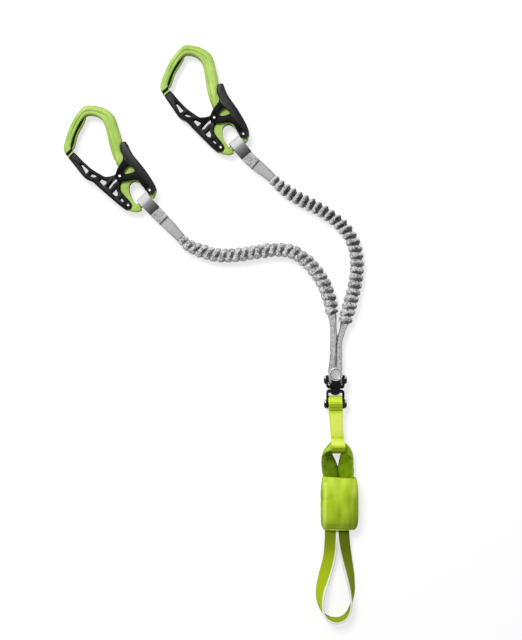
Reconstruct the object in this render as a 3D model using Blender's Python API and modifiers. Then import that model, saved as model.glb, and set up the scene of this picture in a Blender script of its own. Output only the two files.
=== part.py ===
"""Via ferrata lanyard, lying flat as it is laid out on a table.

Two carabiners with palm levers hang on gathered elastic webbing arms. The arms meet on the
upper bolt of a swivel, whose lower bolt carries a short sling. The sling passes through the
loop of a folded webbing absorber in its pouch, and a tie-in loop leaves the other end.

Metres, +Z up from the table, +Y towards the carabiners. The origin lies on the table under
the middle of the lanyard's outline.
"""
import math

import bmesh
import bpy
from mathutils import Matrix, Vector

MM = 0.001

# Shared fits
SEAT_GAP = 0.3 * MM
CUT_OVERRUN = 4.0 * MM
WELD = 0.001 * MM

# Fineness of the surfaces
CORNER_SHARE = 0.45
SHARP_DEG = 35.0
HOLE_SIDES = 12
HEAD_SIDES = 16
FINE_STEPS = 12
ROUND_STEPS = 8
FOLD_STEPS = 4
BEND_SHARE = 0.3
LOOP_TURNS_DEG = (-120, -90, -60, -30, 0, 30, 60, 90, 120)

# Carabiner outline, placed by the centre of its webbing bar
CARABINER_LENGTH = 114.0 * MM
CARABINER_SHARES = 114.0
BAR_SPOT_SHARES = (0.1, 5.0)
CARABINER_HEIGHT = 7.5 * MM
LEFT_BAR_PLACE = (-66.1 * MM, 133.8 * MM)
LEFT_TURN_DEG = 44.0
RIGHT_BAR_PLACE = (26.2 * MM, 190.2 * MM)
RIGHT_TURN_DEG = 39.8

# Carabiner body
ROD_THICKNESS = 11.0 * MM
ROD_EDGE_RADIUS = 1.5 * MM
NECK_THICKNESS = 7.0 * MM
NECK_EDGE_RADIUS = 1.0 * MM
BAR_DIAMETER = 6.4 * MM
RIB_GROOVE_DEPTH = 0.6 * MM
NOSE_NECK_THICKNESS = 4.6 * MM
TONGUE_THICKNESS = 5.0 * MM
NOSE_RIB_THICKNESS = 10.4 * MM

# Gate, a channel of two plates
GATE_PLATE = 1.5 * MM
GATE_INNER_WIDTH = NECK_THICKNESS + 2 * SEAT_GAP
GATE_EDGE_RADIUS = 0.5 * MM

# Palm lever, a channel outside the gate
LEVER_CHEEK = 1.5 * MM
LEVER_INNER_WIDTH = ROD_THICKNESS + 2 * SEAT_GAP
LEVER_EDGE_RADIUS = 0.6 * MM
LEVER_SQUEEZE_DEG = 7.5
GATE_TO_LEVER_RATIO = -2.5

# Rivets and lock pin
PIN_DIAMETER = 3.0 * MM
HEAD_DIAMETER = 4.6 * MM
HEAD_THICKNESS = 0.9 * MM
HEAD_PROUD = 0.2 * MM
DOME_SHARE = 0.72
BOSS_DIAMETER = 6.2 * MM
BOSS_GROOVE_WIDTH = 0.5 * MM
BOSS_GROOVE_DEPTH = 0.4 * MM
SLOT_REACH = 2.6 * MM
SLOT_STEPS = 5

# Lever spring
SPRING_WIRE = 0.9 * MM
SPRING_COIL_RADIUS = 2.7 * MM
SPRING_TURNS = 1.5
SPRING_LEG = 13.0 * MM
SPRING_START_DEG = 180.0
POINTS_IN_TURN = 10

# Webbing at the carabiner
SLEEVE_SIDE_CLEARANCE = 1.4 * MM
WEBBING_INSET = 0.4 * MM
LOOP_WALL = 1.5 * MM
LOOP_LEG = 17.0 * MM
LOOP_CONVERGE = 9.0 * MM
LEG_THICKNESS = 4.4 * MM
LEG_WIDTH_AT_ARM = 9.4 * MM
LEG_THICKNESS_AT_ARM = 6.4 * MM
LEG_STEP_SHARES = (0.0, 0.2, 0.4, 0.55, 0.7, 0.85, 1.0)
LEG_TAPER_START = 0.5
LEG_INSET = 0.2 * MM
SLEEVE_WALL = 0.9 * MM
SLEEVE_LENGTH = 14.0 * MM

# Elastic arms
ARM_DIAMETER = 13.4 * MM
ARM_VALLEY_DIAMETER = 10.6 * MM
ARM_BORE = 6.8 * MM
CORE_DIAMETER = 6.0 * MM
ARM_HEIGHT = 6.8 * MM
RIB_PITCH = 7.0 * MM
END_RIB_SHARES = (0.74, 0.86, 0.95)
LEFT_ARM_ROUTE = [
    (-30.2 * MM, 96.6 * MM), (-25.6 * MM, 91.9 * MM), (-19.7 * MM, 87.8 * MM), (-11.5 * MM, 84.6 * MM),
    (-1.9 * MM, 81.2 * MM), (8.6 * MM, 79.4 * MM), (18.2 * MM, 79.2 * MM), (27.8 * MM, 79.9 * MM),
    (37.3 * MM, 81.4 * MM), (46.9 * MM, 82.8 * MM), (56.5 * MM, 84.2 * MM), (66.2 * MM, 84.8 * MM),
    (78.3 * MM, 83.8 * MM), (88.1 * MM, 79.0 * MM), (96.7 * MM, 72.4 * MM), (103.2 * MM, 65.2 * MM),
    (108.9 * MM, 57.2 * MM), (113.3 * MM, 49.2 * MM), (116.1 * MM, 42.0 * MM), (118.3 * MM, 35.2 * MM),
    (119.9 * MM, 27.6 * MM), (120.7 * MM, 20.4 * MM),
]
RIGHT_ARM_ROUTE = [
    (61.0 * MM, 156.6 * MM), (65.8 * MM, 151.9 * MM), (70.7 * MM, 147.4 * MM), (78.5 * MM, 141.8 * MM),
    (89.2 * MM, 135.3 * MM), (102.2 * MM, 128.8 * MM), (115.2 * MM, 121.2 * MM), (126.0 * MM, 113.2 * MM),
    (135.8 * MM, 103.2 * MM), (142.5 * MM, 90.9 * MM), (145.3 * MM, 77.9 * MM), (145.8 * MM, 67.0 * MM),
    (144.7 * MM, 55.1 * MM), (142.3 * MM, 43.6 * MM), (139.5 * MM, 33.0 * MM), (136.9 * MM, 23.6 * MM),
    (133.5 * MM, 11.4 * MM),
]

# Lower strands, from the elastic arms to the upper bolt
STRAND_THICKNESS = 5.0 * MM
LEFT_STRAND_WIDTH = 6.0 * MM
RIGHT_STRAND_WIDTH = 5.2 * MM
STRAND_LOOP_LEG = 13.0 * MM
LEFT_STRAND_ROUTE = [
    (121.5 * MM, 16.0 * MM), (122.1 * MM, 9.0 * MM), (122.5 * MM, 0.0 * MM), (122.4 * MM, -10.0 * MM),
    (121.5 * MM, -21.0 * MM),
]
RIGHT_STRAND_ROUTE = [
    (132.1 * MM, 7.0 * MM), (130.5 * MM, 1.6 * MM), (129.0 * MM, -4.0 * MM), (128.6 * MM, -12.0 * MM),
    (128.4 * MM, -21.0 * MM),
]

# Swivel, measured from its own axis and the underside of its lower fork's cross bar
SWIVEL_X = 124.1 * MM
SWIVEL_Y = -58.0 * MM
SWIVEL_HEIGHT = 7.5 * MM
FORK_HEIGHT = 11.0 * MM
FORK_WALL = 1.6 * MM
FORK_CORNER = 2.4 * MM
LOWER_FORK_GAP = 14.4 * MM
LOWER_BAR_THICKNESS = 2.9 * MM
LOWER_BOLT_DROP = 11.2 * MM
LOWER_WALL_REACH = 4.8 * MM
UPPER_FORK_GAP = 14.6 * MM
UPPER_BASE_THICKNESS = 2.8 * MM
UPPER_BOLT_RISE = 8.6 * MM
UPPER_WALL_REACH = 4.6 * MM
SWIVEL_PIN_DIAMETER = 5.0 * MM
SWIVEL_HEAD_DIAMETER = 8.4 * MM
SWIVEL_HEAD_THICKNESS = 2.4 * MM
SWIVEL_FLARE_DIAMETER = 7.2 * MM
SWIVEL_FLARE_THICKNESS = 0.9 * MM
WASHER_THICKNESS = 0.8 * MM
WASHER_DIAMETER = 10.0 * MM
BOLT_DIAMETER = 5.0 * MM
BOLT_HEAD_DIAMETER = 8.8 * MM
BOLT_HEAD_THICKNESS = 2.2 * MM
BOLT_SOCKET_WIDTH = 3.4 * MM
BOLT_SOCKET_DEPTH = 1.2 * MM
KEEPER_THICKNESS = 1.3 * MM
KEEPER_FOOT_WIDTH = 14.0 * MM
KEEPER_FOOT_LENGTH = 2.4 * MM
KEEPER_NECK_WIDTH = 8.6 * MM
CAP_DIAMETER = 12.4 * MM
CAP_THICKNESS = 1.5 * MM
CAP_RISE = 14.4 * MM
CAP_RIM = 1.3 * MM
CAP_DISH = 0.5 * MM
ARM_LOOP_WIDTH = 6.4 * MM
ARM_LOOP_WALL = 2.7 * MM
ARM_LOOP_GAP = 0.6 * MM

# Label sling
SLING_WIDTH = 13.4 * MM
SLING_TOP_WALL = 3.9 * MM
SLING_LOW_BORE = 8.4 * MM
SLING_LOW_WALL = 2.7 * MM
SLING_THICKNESS = 5.6 * MM
SLING_LENGTH = 42.4 * MM
SLING_SHIFT = 3.4 * MM
SLING_STEPS = 8

# Absorber loop, whose crown passes through the sling's lower end
CROWN_WIDTH = 7.2 * MM
CROWN_THICKNESS = 6.0 * MM
CROWN_EDGE_RADIUS = 2.2 * MM
ABSORBER_LOOP_LENGTH = 46.0 * MM
LENGTH_SHARES = 46.0

# Pouch and what it holds
POUCH_LENGTH = 53.4 * MM
POUCH_WIDTH = 37.2 * MM
POUCH_THICKNESS = 22.0 * MM
POUCH_WALL = 1.2 * MM
POUCH_SHIFT = 0.8 * MM
POUCH_DROP = 57.4 * MM
POUCH_DIP = 0.5 * MM
POUCH_SIDES = 18
POUCH_SQUARENESS = 0.62
PACK_WIDTH = 27.0 * MM
PACK_LAYER = 2.2 * MM
PACK_LAYERS = 5
PACK_PITCH = 2.6 * MM
PACK_LENGTH = 24.0 * MM
PACK_SHIFT = -1.8 * MM

# Tie-in loop
TIE_IN_LENGTH = 106.0 * MM
TIE_IN_SHARES = 106.0
TIE_IN_OFFSET = 3.5 * MM
TIE_IN_TUCK = 10.3 * MM
TIE_IN_WIDTH = 11.6 * MM
TIE_IN_THICKNESS = 2.0 * MM
TIE_IN_LIFT = 9.0 * MM
TIE_IN_FOOT = 0.1 * MM


# Helpers

def clear_scene():
    """Starts from an empty scene."""
    for old in list(bpy.data.objects):
        bpy.data.objects.remove(old, do_unlink=True)


def new_collection(name):
    """A collection linked to the scene."""
    group = bpy.data.collections.new(name)
    bpy.context.scene.collection.children.link(group)
    return group


def material(name, colour, roughness, metallic=0.0):
    """A plain Principled material."""
    made = bpy.data.materials.new(name)
    made.use_nodes = True
    shader = made.node_tree.nodes["Principled BSDF"]
    shader.inputs["Base Color"].default_value = (*colour, 1.0)
    shader.inputs["Roughness"].default_value = roughness
    shader.inputs["Metallic"].default_value = metallic
    made.diffuse_color = (*colour, 1.0)
    return made


def add_object(name, data):
    """An object in the lanyard's collection."""
    made = bpy.data.objects.new(name, data)
    LANYARD.objects.link(made)
    return made


def as_mesh(piece):
    """The piece with its curve or modifiers made into a welded mesh of the same name."""
    bpy.context.view_layer.update()
    graph = bpy.context.evaluated_depsgraph_get()
    mesh = bpy.data.meshes.new_from_object(piece.evaluated_get(graph))
    name, place = piece.name, piece.matrix_world.copy()
    bpy.data.objects.remove(piece, do_unlink=True)
    shell = bmesh.new()
    shell.from_mesh(mesh)
    bmesh.ops.remove_doubles(shell, verts=shell.verts, dist=WELD)
    bmesh.ops.recalc_face_normals(shell, faces=shell.faces)
    shell.to_mesh(mesh)
    shell.free()
    mesh.transform(place)
    return add_object(name, mesh)


def combine(piece, others, operation):
    """Cuts the others from the piece, or joins them to it, and removes them."""
    for other in others:
        step = piece.modifiers.new(operation.lower(), "BOOLEAN")
        step.operation = operation
        step.solver = "EXACT"
        step.object = other
    made = as_mesh(piece)
    for other in others:
        bpy.data.objects.remove(other, do_unlink=True)
    return made


def cut(piece, *cutters):
    return combine(piece, cutters, "DIFFERENCE")


def join(piece, *others):
    return combine(piece, others, "UNION")


def smooth_ring(points, steps):
    """A closed outline: smooth through plain points, sharp and straight at points marked corner."""
    spots = [Vector(point[:2]) for point in points]
    sharp = [len(point) > 2 for point in points]
    count = len(spots)
    ring = []
    for i in range(count):
        here, after = spots[i], spots[(i + 1) % count]
        ring.append(here)
        if sharp[i] and sharp[(i + 1) % count]:
            continue
        span = (after - here).length
        chord = (after - here).normalized()
        leave = chord if sharp[i] else (after - spots[i - 1]).normalized()
        arrive = chord if sharp[(i + 1) % count] else (spots[(i + 2) % count] - here).normalized()
        for k in range(1, steps):
            t = k / steps
            ring.append(here * (2 * t ** 3 - 3 * t ** 2 + 1) + leave * span * (t ** 3 - 2 * t ** 2 + t)
                        + after * (3 * t ** 2 - 2 * t ** 3) + arrive * span * (t ** 3 - t ** 2))
    return ring


def circle(centre, radius, sides=20):
    """The points of a circle, anticlockwise."""
    turns = [2 * math.pi * k / sides for k in range(sides)]
    return [Vector((centre[0] + radius * math.cos(a), centre[1] + radius * math.sin(a))) for a in turns]


def signed_area(ring):
    """Twice the area, positive for an anticlockwise ring."""
    return sum(a.x * b.y - b.x * a.y for a, b in zip(ring, ring[1:] + ring[:1]))


def slab(name, rings, low, high, edge=0.0, edge_steps=1):
    """A flat shape between two heights: the first ring is its outline and the others are holes."""
    curve = bpy.data.curves.new(name, "CURVE")
    curve.dimensions = "2D"
    curve.fill_mode = "BOTH"
    for index, ring in enumerate(rings):
        if (signed_area(ring) > 0) == (index > 0):
            ring = ring[::-1]
        spline = curve.splines.new("POLY")
        spline.points.add(len(ring) - 1)
        for point, spot in zip(spline.points, ring):
            point.co = (spot.x, spot.y, 0, 1)
        spline.use_cyclic_u = True
    curve.extrude = (high - low) / 2 - edge
    curve.bevel_depth = edge
    curve.bevel_resolution = edge_steps
    curve.offset = -edge
    piece = add_object(name, curve)
    piece.location.z = (low + high) / 2
    return as_mesh(piece)


def side_slab(name, rings, low, high, edge=0.0):
    """A slab whose outline lies in the YZ plane and which runs along X from low to high."""
    piece = slab(name, rings, low, high, edge)
    piece.data.transform(Matrix(((0, 0, 1, 0), (1, 0, 0, 0), (0, 1, 0, 0), (0, 0, 0, 1))))
    return piece


def turned(name, profile, sides, axis="Z", centre=(0, 0, 0)):
    """A turned solid from (radius, height) points, bottom to top, whose ends lie on the axis."""
    shell = bmesh.new()
    spots = [shell.verts.new((radius, 0, height)) for radius, height in profile]
    edges = [shell.edges.new(pair) for pair in zip(spots, spots[1:])]
    bmesh.ops.spin(shell, geom=spots + edges, angle=2 * math.pi, steps=sides,
                   axis=(0, 0, 1), cent=(0, 0, 0), use_merge=True)
    bmesh.ops.remove_doubles(shell, verts=shell.verts, dist=WELD)
    bmesh.ops.recalc_face_normals(shell, faces=shell.faces)
    mesh = bpy.data.meshes.new(name)
    shell.to_mesh(mesh)
    shell.free()
    turn = {"Z": Matrix.Identity(4), "X": Matrix.Rotation(math.pi / 2, 4, "Y"),
            "Y": Matrix.Rotation(-math.pi / 2, 4, "X")}[axis]
    mesh.transform(Matrix.Translation(centre) @ turn)
    return add_object(name, mesh)


def rod(name, radius, low, high, sides=20, axis="Z", centre=(0, 0, 0)):
    """A plain round bar between two stations along its axis."""
    return turned(name, [(0, low), (radius, low), (radius, high), (0, high)], sides, axis, centre)


def webbing_ring(width, thickness):
    """Eight points of a flat section with broken corners, as (across, up) pairs."""
    w, t = width / 2, thickness / 2
    c = min(w, t) * CORNER_SHARE
    return [(w, t - c), (w - c, t), (c - w, t), (-w, t - c), (-w, c - t), (c - w, -t), (w - c, -t), (w, c - t)]


def loft(name, stations, closed=False):
    """A solid through sections: each station is a centre, an across vector, an up vector and a ring."""
    shell = bmesh.new()
    rings = []
    for centre, across, up, ring in stations:
        rings.append([shell.verts.new(Vector(centre) + across * a + up * b) for a, b in ring])
    count = len(rings[0])
    pairs = list(zip(rings, rings[1:]))
    if closed:
        pairs.append((rings[-1], rings[0]))
    for first, second in pairs:
        for k in range(count):
            shell.faces.new((first[k], first[(k + 1) % count], second[(k + 1) % count], second[k]))
    if not closed:
        shell.faces.new(rings[0][::-1])
        shell.faces.new(rings[-1])
    bmesh.ops.recalc_face_normals(shell, faces=shell.faces)
    mesh = bpy.data.meshes.new(name)
    shell.to_mesh(mesh)
    shell.free()
    return add_object(name, mesh)


def tube(name, spots, radii, sides_level=2):
    """A round bar along points, with a radius for each."""
    curve = bpy.data.curves.new(name, "CURVE")
    curve.dimensions = "3D"
    curve.bevel_depth = 1.0
    curve.bevel_resolution = sides_level
    curve.use_fill_caps = True
    spline = curve.splines.new("POLY")
    spline.points.add(len(spots) - 1)
    for point, spot, radius in zip(spline.points, spots, radii):
        point.co = (*spot, 1)
        point.radius = radius
    return as_mesh(add_object(name, curve))


def finish(piece, surface, parent=None, smooth=True):
    """Gives a piece its material, its shading and its parent."""
    piece.data.materials.clear()
    piece.data.materials.append(surface)
    if smooth:
        piece.data.shade_smooth()
        piece.data.set_sharp_from_angle(angle=math.radians(SHARP_DEG))
    if parent is not None:
        piece.parent = parent
    return piece


def empty(name, place, turn=0.0, parent=None):
    """An empty that marks a frame or a joint's axis."""
    made = add_object(name, None)
    made.location = place
    made.rotation_euler.z = turn
    made.parent = parent
    return made


# Carabiner outlines, in 114ths of its length: x across and y along, from the foot of the eye

ROD_SHARES = [
    (-24.9, 90.2, "corner"), (-24.4, 94.0), (-22.9, 97.4), (-19.4, 100.5), (-9.9, 105.9), (-1.5, 110.0),
    (7.0, 112.7), (16.6, 114.3), (21.6, 114.3), (25.2, 112.1), (31.5, 105.1), (35.2, 98.2),
    (36.9, 89.7), (35.4, 84.0), (31.1, 75.8), (24.4, 63.2), (19.4, 60.6), (16.8, 56.6),
    (16.2, 51.6, "corner"), (5.2, 51.6, "corner"), (8.6, 60.0), (13.2, 69.0), (19.9, 79.8),
    (24.3, 88.4), (25.3, 93.6), (23.2, 100.6), (18.3, 106.0), (13.6, 106.8), (5.0, 104.6),
    (-5.0, 100.7), (-13.3, 96.1), (-16.6, 93.2), (-17.7, 90.2, "corner"),
]
NECK_SHARES = [
    (7.0, 56.0, "corner"), (15.8, 56.0, "corner"), (16.2, 50.0), (15.4, 40.0), (15.3, 28.0),
    (15.6, 16.0), (15.3, 8.0), (13.2, 3.0), (9.6, 0.8, "corner"), (-11.0, 0.8), (-15.2, 4.2),
    (-18.2, 8.6), (-19.4, 12.6), (-17.8, 16.2), (-14.4, 17.8), (-12.2, 20.6), (-11.0, 28.4),
    (-7.6, 32.2), (-2.4, 34.6), (1.6, 37.6), (3.8, 42.8), (4.6, 49.4),
]
EYE_SHARES = [
    (-8.2, -5.0, "corner"), (-8.2, 2.0, "corner"), (-8.4, 12.0), (-7.0, 17.4), (-4.0, 23.4),
    (-0.6, 26.6), (3.4, 27.0), (6.6, 25.0), (8.2, 20.0), (7.7, 12.0), (7.2, 2.0, "corner"),
    (7.2, -5.0, "corner"),
]
NOSE_NECK_SHARES = [(-24.3, 88.8), (-24.3, 93.0), (-18.3, 93.0), (-18.3, 88.8)]
NOSE_RIB_SHARES = [(-24.9, 88.4), (-24.9, 89.9), (-17.7, 89.9), (-17.7, 88.4)]
TONGUE_SHARES = [(-24.2, 89.0), (-19.4, 89.0), (-20.6, 81.6), (-23.8, 81.6)]
SPINE_GROOVE_SHARES = [
    (9.6, 56.6), (12.4, 55.2), (16.4, 62.4), (24.6, 76.6), (29.6, 85.6), (30.9, 90.6), (29.6, 98.0),
    (26.0, 104.2), (21.4, 109.2), (16.0, 110.6), (5.0, 108.6), (-7.0, 103.4), (-6.6, 102.2),
    (5.0, 106.8), (16.0, 108.9), (20.4, 107.4), (24.8, 101.8), (27.4, 95.0), (27.2, 90.0), (22.4, 80.8),
]
GATE_SHARES = [
    (-25.2, 87.7, "corner"), (-25.9, 79.5), (-27.0, 69.0), (-27.4, 62.8), (-26.5, 59.6), (-24.4, 54.6),
    (-24.1, 48.0), (-23.4, 39.5), (-22.2, 26.0), (-20.9, 14.8), (-19.4, 10.6), (-16.4, 8.8),
    (-12.9, 9.8), (-11.3, 12.6), (-11.0, 20.0), (-10.7, 28.2), (-8.6, 31.4), (-5.0, 34.0),
    (-1.0, 35.0), (2.6, 37.0), (2.6, 41.0), (-0.6, 43.4), (-5.0, 44.4), (-11.7, 48.9), (-13.3, 53.2),
    (-15.0, 59.0), (-16.3, 65.0), (-16.9, 72.5), (-17.2, 80.0), (-17.2, 87.7, "corner"),
]
GATE_WINDOW_SHARES = [
    [(-21.2, 75.8), (-23.9, 65.6), (-23.1, 64.4), (-20.2, 64.4), (-19.5, 65.6), (-20.0, 75.0)],
    [(-23.2, 61.6), (-19.8, 61.6), (-17.3, 57.0), (-18.2, 55.0), (-20.6, 56.6)],
    [(-19.2, 51.2), (-16.4, 51.2), (-14.0, 45.8), (-15.2, 43.6), (-19.2, 43.4)],
    [(-18.3, 33.8), (-12.2, 34.0), (-14.4, 28.2), (-16.4, 27.0), (-18.0, 28.6)],
    [(-17.2, 23.2), (-15.6, 23.8), (-14.9, 21.4), (-15.8, 18.4), (-17.0, 19.0)],
]
GATE_SLIT_SHARES = [(-17.6, 40.1), (-6.8, 38.7), (-6.6, 37.5), (-17.6, 38.9)]
GATE_CHANNEL_SHARES = [
    (-19.4, 4.0, "corner"), (-19.4, 12.0, "corner"), (-21.8, 40.0, "corner"), (-22.6, 55.0, "corner"),
    (-25.4, 60.8, "corner"), (-25.8, 63.6, "corner"), (-34.0, 65.6, "corner"), (-34.0, 94.0, "corner"),
    (-18.9, 94.0, "corner"), (-18.7, 68.0, "corner"), (-14.0, 60.0, "corner"), (12.0, 50.0, "corner"),
    (12.0, 4.0, "corner"),
]
LEVER_SHARES = [
    (21.3, 61.0), (23.6, 61.9), (26.9, 60.2), (27.0, 58.6), (25.4, 54.2), (23.7, 48.6), (22.9, 42.0),
    (22.5, 35.0), (21.7, 27.6), (20.4, 19.6), (18.8, 12.6), (16.6, 6.6), (13.6, 3.7), (10.2, 3.9),
    (7.5, 6.4), (7.6, 10.6), (8.7, 17.6), (9.2, 23.2), (7.6, 26.0), (1.7, 30.4), (-3.6, 34.0),
    (-5.6, 36.6), (-5.4, 40.6), (-2.6, 43.6), (3.6, 46.6), (12.3, 48.7), (15.8, 52.0), (18.6, 56.4),
]
LEVER_WINDOW_SHARES = [
    (3.9, 38.4), (5.6, 40.4), (12.4, 40.8), (14.0, 39.2), (14.4, 34.2), (13.0, 32.4), (10.0, 33.2),
    (5.2, 36.0),
]
LEVER_CHANNEL_SHARES = [
    (-20.0, -8.0, "corner"), (34.0, -8.0, "corner"), (34.0, 14.0, "corner"), (17.6, 14.0, "corner"),
    (19.6, 27.0, "corner"), (20.6, 38.0, "corner"), (21.0, 45.0), (23.4, 55.0, "corner"),
    (34.0, 56.4, "corner"), (34.0, 72.0, "corner"), (-20.0, 72.0, "corner"),
]
LEVER_PIVOT_SHARES = (10.7, 8.3)
GATE_PIVOT_SHARES = (-15.0, 12.6)
LOCK_PIN_SHARES = (-1.0, 39.2)
BAR_END_SHARES = (-10.0, 8.4)


def spot(x, y):
    """A place in the carabiner's own frame, whose origin is the middle of its bar."""
    share = CARABINER_LENGTH / CARABINER_SHARES
    return Vector(((x - BAR_SPOT_SHARES[0]) * share, (y - BAR_SPOT_SHARES[1]) * share))


def spots(table):
    """An outline table as places, with its corners kept."""
    return [(*spot(*point[:2]), *point[2:]) for point in table]


def turn_about(place, centre, degrees):
    """A flat place turned about a centre."""
    return centre + Matrix.Rotation(math.radians(degrees), 2) @ (place - centre)


def carabiner_body(side):
    """The forged body: a thick rod, a thinner neck with the eye, a round bar and a notched nose."""
    half = ROD_THICKNESS / 2
    neck = NECK_THICKNESS / 2
    top = half + CUT_OVERRUN
    body = slab(f"{side}_carabiner_body", [smooth_ring(spots(ROD_SHARES), 2)], -half, half, ROD_EDGE_RADIUS)
    parts = [slab("neck", [smooth_ring(spots(NECK_SHARES), 2)], -neck, neck, NECK_EDGE_RADIUS, 0)]
    for table, thickness in ((NOSE_NECK_SHARES, NOSE_NECK_THICKNESS), (NOSE_RIB_SHARES, NOSE_RIB_THICKNESS),
                             (TONGUE_SHARES, TONGUE_THICKNESS)):
        parts.append(slab("nose_part", [[spot(*share) for share in table]], -thickness / 2, thickness / 2))
    body = join(body, *parts)
    cutters = [slab("eye_cutter", [smooth_ring(spots(EYE_SHARES), 2)], -top, top)]
    groove = smooth_ring(spots(SPINE_GROOVE_SHARES), 2)
    for low, high in ((half - RIB_GROOVE_DEPTH, top), (-top, RIB_GROOVE_DEPTH - half)):
        cutters.append(slab("groove_cutter", [groove], low, high))
    for pivot in (LEVER_PIVOT_SHARES, GATE_PIVOT_SHARES):
        hole = circle(spot(*pivot), PIN_DIAMETER / 2 + SEAT_GAP, HOLE_SIDES)
        cutters.append(slab("hole_cutter", [hole], -top, top))
    body = cut(body, *cutters)
    ends = [spot(share, 0).x for share in BAR_END_SHARES]
    return join(body, rod("bar", BAR_DIAMETER / 2, ends[0], ends[1], HEAD_SIDES, "X"))


def lock_pin_path():
    """The lock pin's centres in the gate's frame, from rest to a full squeeze."""
    pin, lever, gate = spot(*LOCK_PIN_SHARES), spot(*LEVER_PIVOT_SHARES), spot(*GATE_PIVOT_SHARES)
    path = []
    for k in range(SLOT_STEPS + 1):
        squeeze = LEVER_SQUEEZE_DEG * k / SLOT_STEPS
        path.append(turn_about(turn_about(pin, lever, squeeze), gate, -GATE_TO_LEVER_RATIO * squeeze))
    return path


def slot_ring():
    """The gate's slot round the lock pin's path, with a little reach past its far end."""
    path = lock_pin_path()
    path.append(path[-1] + (path[-1] - path[-2]).normalized() * SLOT_REACH)
    half = PIN_DIAMETER / 2 + SEAT_GAP
    sides = ([], [])
    for k, place in enumerate(path):
        along = (path[min(k + 1, len(path) - 1)] - path[max(k - 1, 0)]).normalized()
        across = Vector((-along.y, along.x)) * half
        sides[0].append(place + across)
        sides[1].append(place - across)
    ring = list(sides[0])
    for end, first in ((path[-1], sides[0][-1]), (path[0], sides[1][0])):
        if end == path[-1]:
            ring += [turn_about(first, end, -45 * k) for k in (1, 2, 3)] + sides[1][::-1]
        else:
            ring += [turn_about(first, end, -45 * k) for k in (1, 2, 3)]
    return ring


def boss_cutters(pivot, face):
    """Ring grooves that leave a round boss about a pivot, on both faces."""
    rings = [circle(spot(*pivot), BOSS_DIAMETER / 2 + BOSS_GROOVE_WIDTH, HEAD_SIDES),
             circle(spot(*pivot), BOSS_DIAMETER / 2, HEAD_SIDES)]
    floor = face - BOSS_GROOVE_DEPTH
    top = face + CUT_OVERRUN
    return [slab("boss_cutter", rings, floor, top), slab("boss_cutter", rings, -top, -floor)]


def carabiner_gate(side):
    """The gate: two trussed plates, an outer wall low down and an inner wall at the tip."""
    inner = GATE_INNER_WIDTH / 2
    outer = inner + GATE_PLATE
    gate = slab(f"{side}_gate", [smooth_ring(spots(GATE_SHARES), 2)], -outer, outer, GATE_EDGE_RADIUS, 0)
    top = outer + CUT_OVERRUN
    cutters = [slab("channel_cutter", [smooth_ring(spots(GATE_CHANNEL_SHARES), 1)], -inner, inner)]
    for window in GATE_WINDOW_SHARES:
        cutters.append(slab("window_cutter", [smooth_ring(spots(window), 1)], -top, top))
    cutters.append(slab("slit_cutter", [[spot(*share) for share in GATE_SLIT_SHARES]], -top, top))
    cutters += boss_cutters(GATE_PIVOT_SHARES, outer)
    cutters.append(slab("slot_cutter", [slot_ring()], -top, top))
    hole = circle(spot(*GATE_PIVOT_SHARES), PIN_DIAMETER / 2 + SEAT_GAP, HOLE_SIDES)
    cutters.append(slab("hole_cutter", [hole], -top, top))
    return cut(gate, *cutters)


def palm_lever(side):
    """The palm lever: two cheeks with a window, and a wall along the outer edge."""
    inner = LEVER_INNER_WIDTH / 2
    outer = inner + LEVER_CHEEK
    lever = slab(f"{side}_palm_lever", [smooth_ring(spots(LEVER_SHARES), 2)],
                 -outer, outer, LEVER_EDGE_RADIUS, 0)
    top = outer + CUT_OVERRUN
    cutters = [slab("channel_cutter", [smooth_ring(spots(LEVER_CHANNEL_SHARES), 1)], -inner, inner),
               slab("window_cutter", [smooth_ring(spots(LEVER_WINDOW_SHARES), 1)], -top, top)]
    for pivot in (LEVER_PIVOT_SHARES, LOCK_PIN_SHARES):
        centre = spot(*pivot)
        hole = circle(centre, PIN_DIAMETER / 2 + SEAT_GAP, HOLE_SIDES)
        cutters.append(slab("hole_cutter", [hole], -top, top))
        head_seat = outer - HEAD_THICKNESS + HEAD_PROUD - SEAT_GAP
        wide = circle(centre, HEAD_DIAMETER / 2 + SEAT_GAP, HEAD_SIDES)
        cutters.append(slab("head_cutter", [wide], head_seat, top))
        cutters.append(slab("head_cutter", [wide], -top, -head_seat))
        cutters += boss_cutters(pivot, outer)
    return cut(lever, *cutters)


def rivet(name, place, head_face):
    """A rivet with a low dome at each end, whose heads stand proud of a face."""
    top = head_face + HEAD_PROUD
    seat = top - HEAD_THICKNESS
    pin, head = PIN_DIAMETER / 2, HEAD_DIAMETER / 2
    crown = head * DOME_SHARE
    profile = [(0, -top), (crown, -top), (head, -seat - HEAD_PROUD), (head, -seat), (pin, -seat),
               (pin, seat), (head, seat), (head, seat + HEAD_PROUD), (crown, top), (0, top)]
    return turned(name, profile, HOLE_SIDES, "Z", (*place, 0))


def lever_spring(side):
    """A torsion spring on the lever rivet, with a leg along the lever's wall and one on the body."""
    centre = spot(*LEVER_PIVOT_SHARES)
    low = NECK_THICKNESS / 2 + SEAT_GAP + SPRING_WIRE / 2
    high = LEVER_INNER_WIDTH / 2 - SEAT_GAP - SPRING_WIRE / 2
    first = math.radians(SPRING_START_DEG)
    count = int(SPRING_TURNS * POINTS_IN_TURN)
    coil = []
    for k in range(count + 1):
        angle = first + 2 * math.pi * k / POINTS_IN_TURN
        height = low + (high - low) * k / count
        coil.append(Vector((centre.x + SPRING_COIL_RADIUS * math.cos(angle),
                            centre.y + SPRING_COIL_RADIUS * math.sin(angle), height)))
    last = first + 2 * math.pi * SPRING_TURNS
    start = coil[0] - Vector((-math.sin(first), math.cos(first), 0)) * SPRING_LEG
    end = coil[-1] + Vector((-math.sin(last), math.cos(last), 0)) * SPRING_LEG
    route = [start] + coil + [end]
    return tube(f"{side}_lever_spring", route, [SPRING_WIRE / 2] * len(route), 1)


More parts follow.
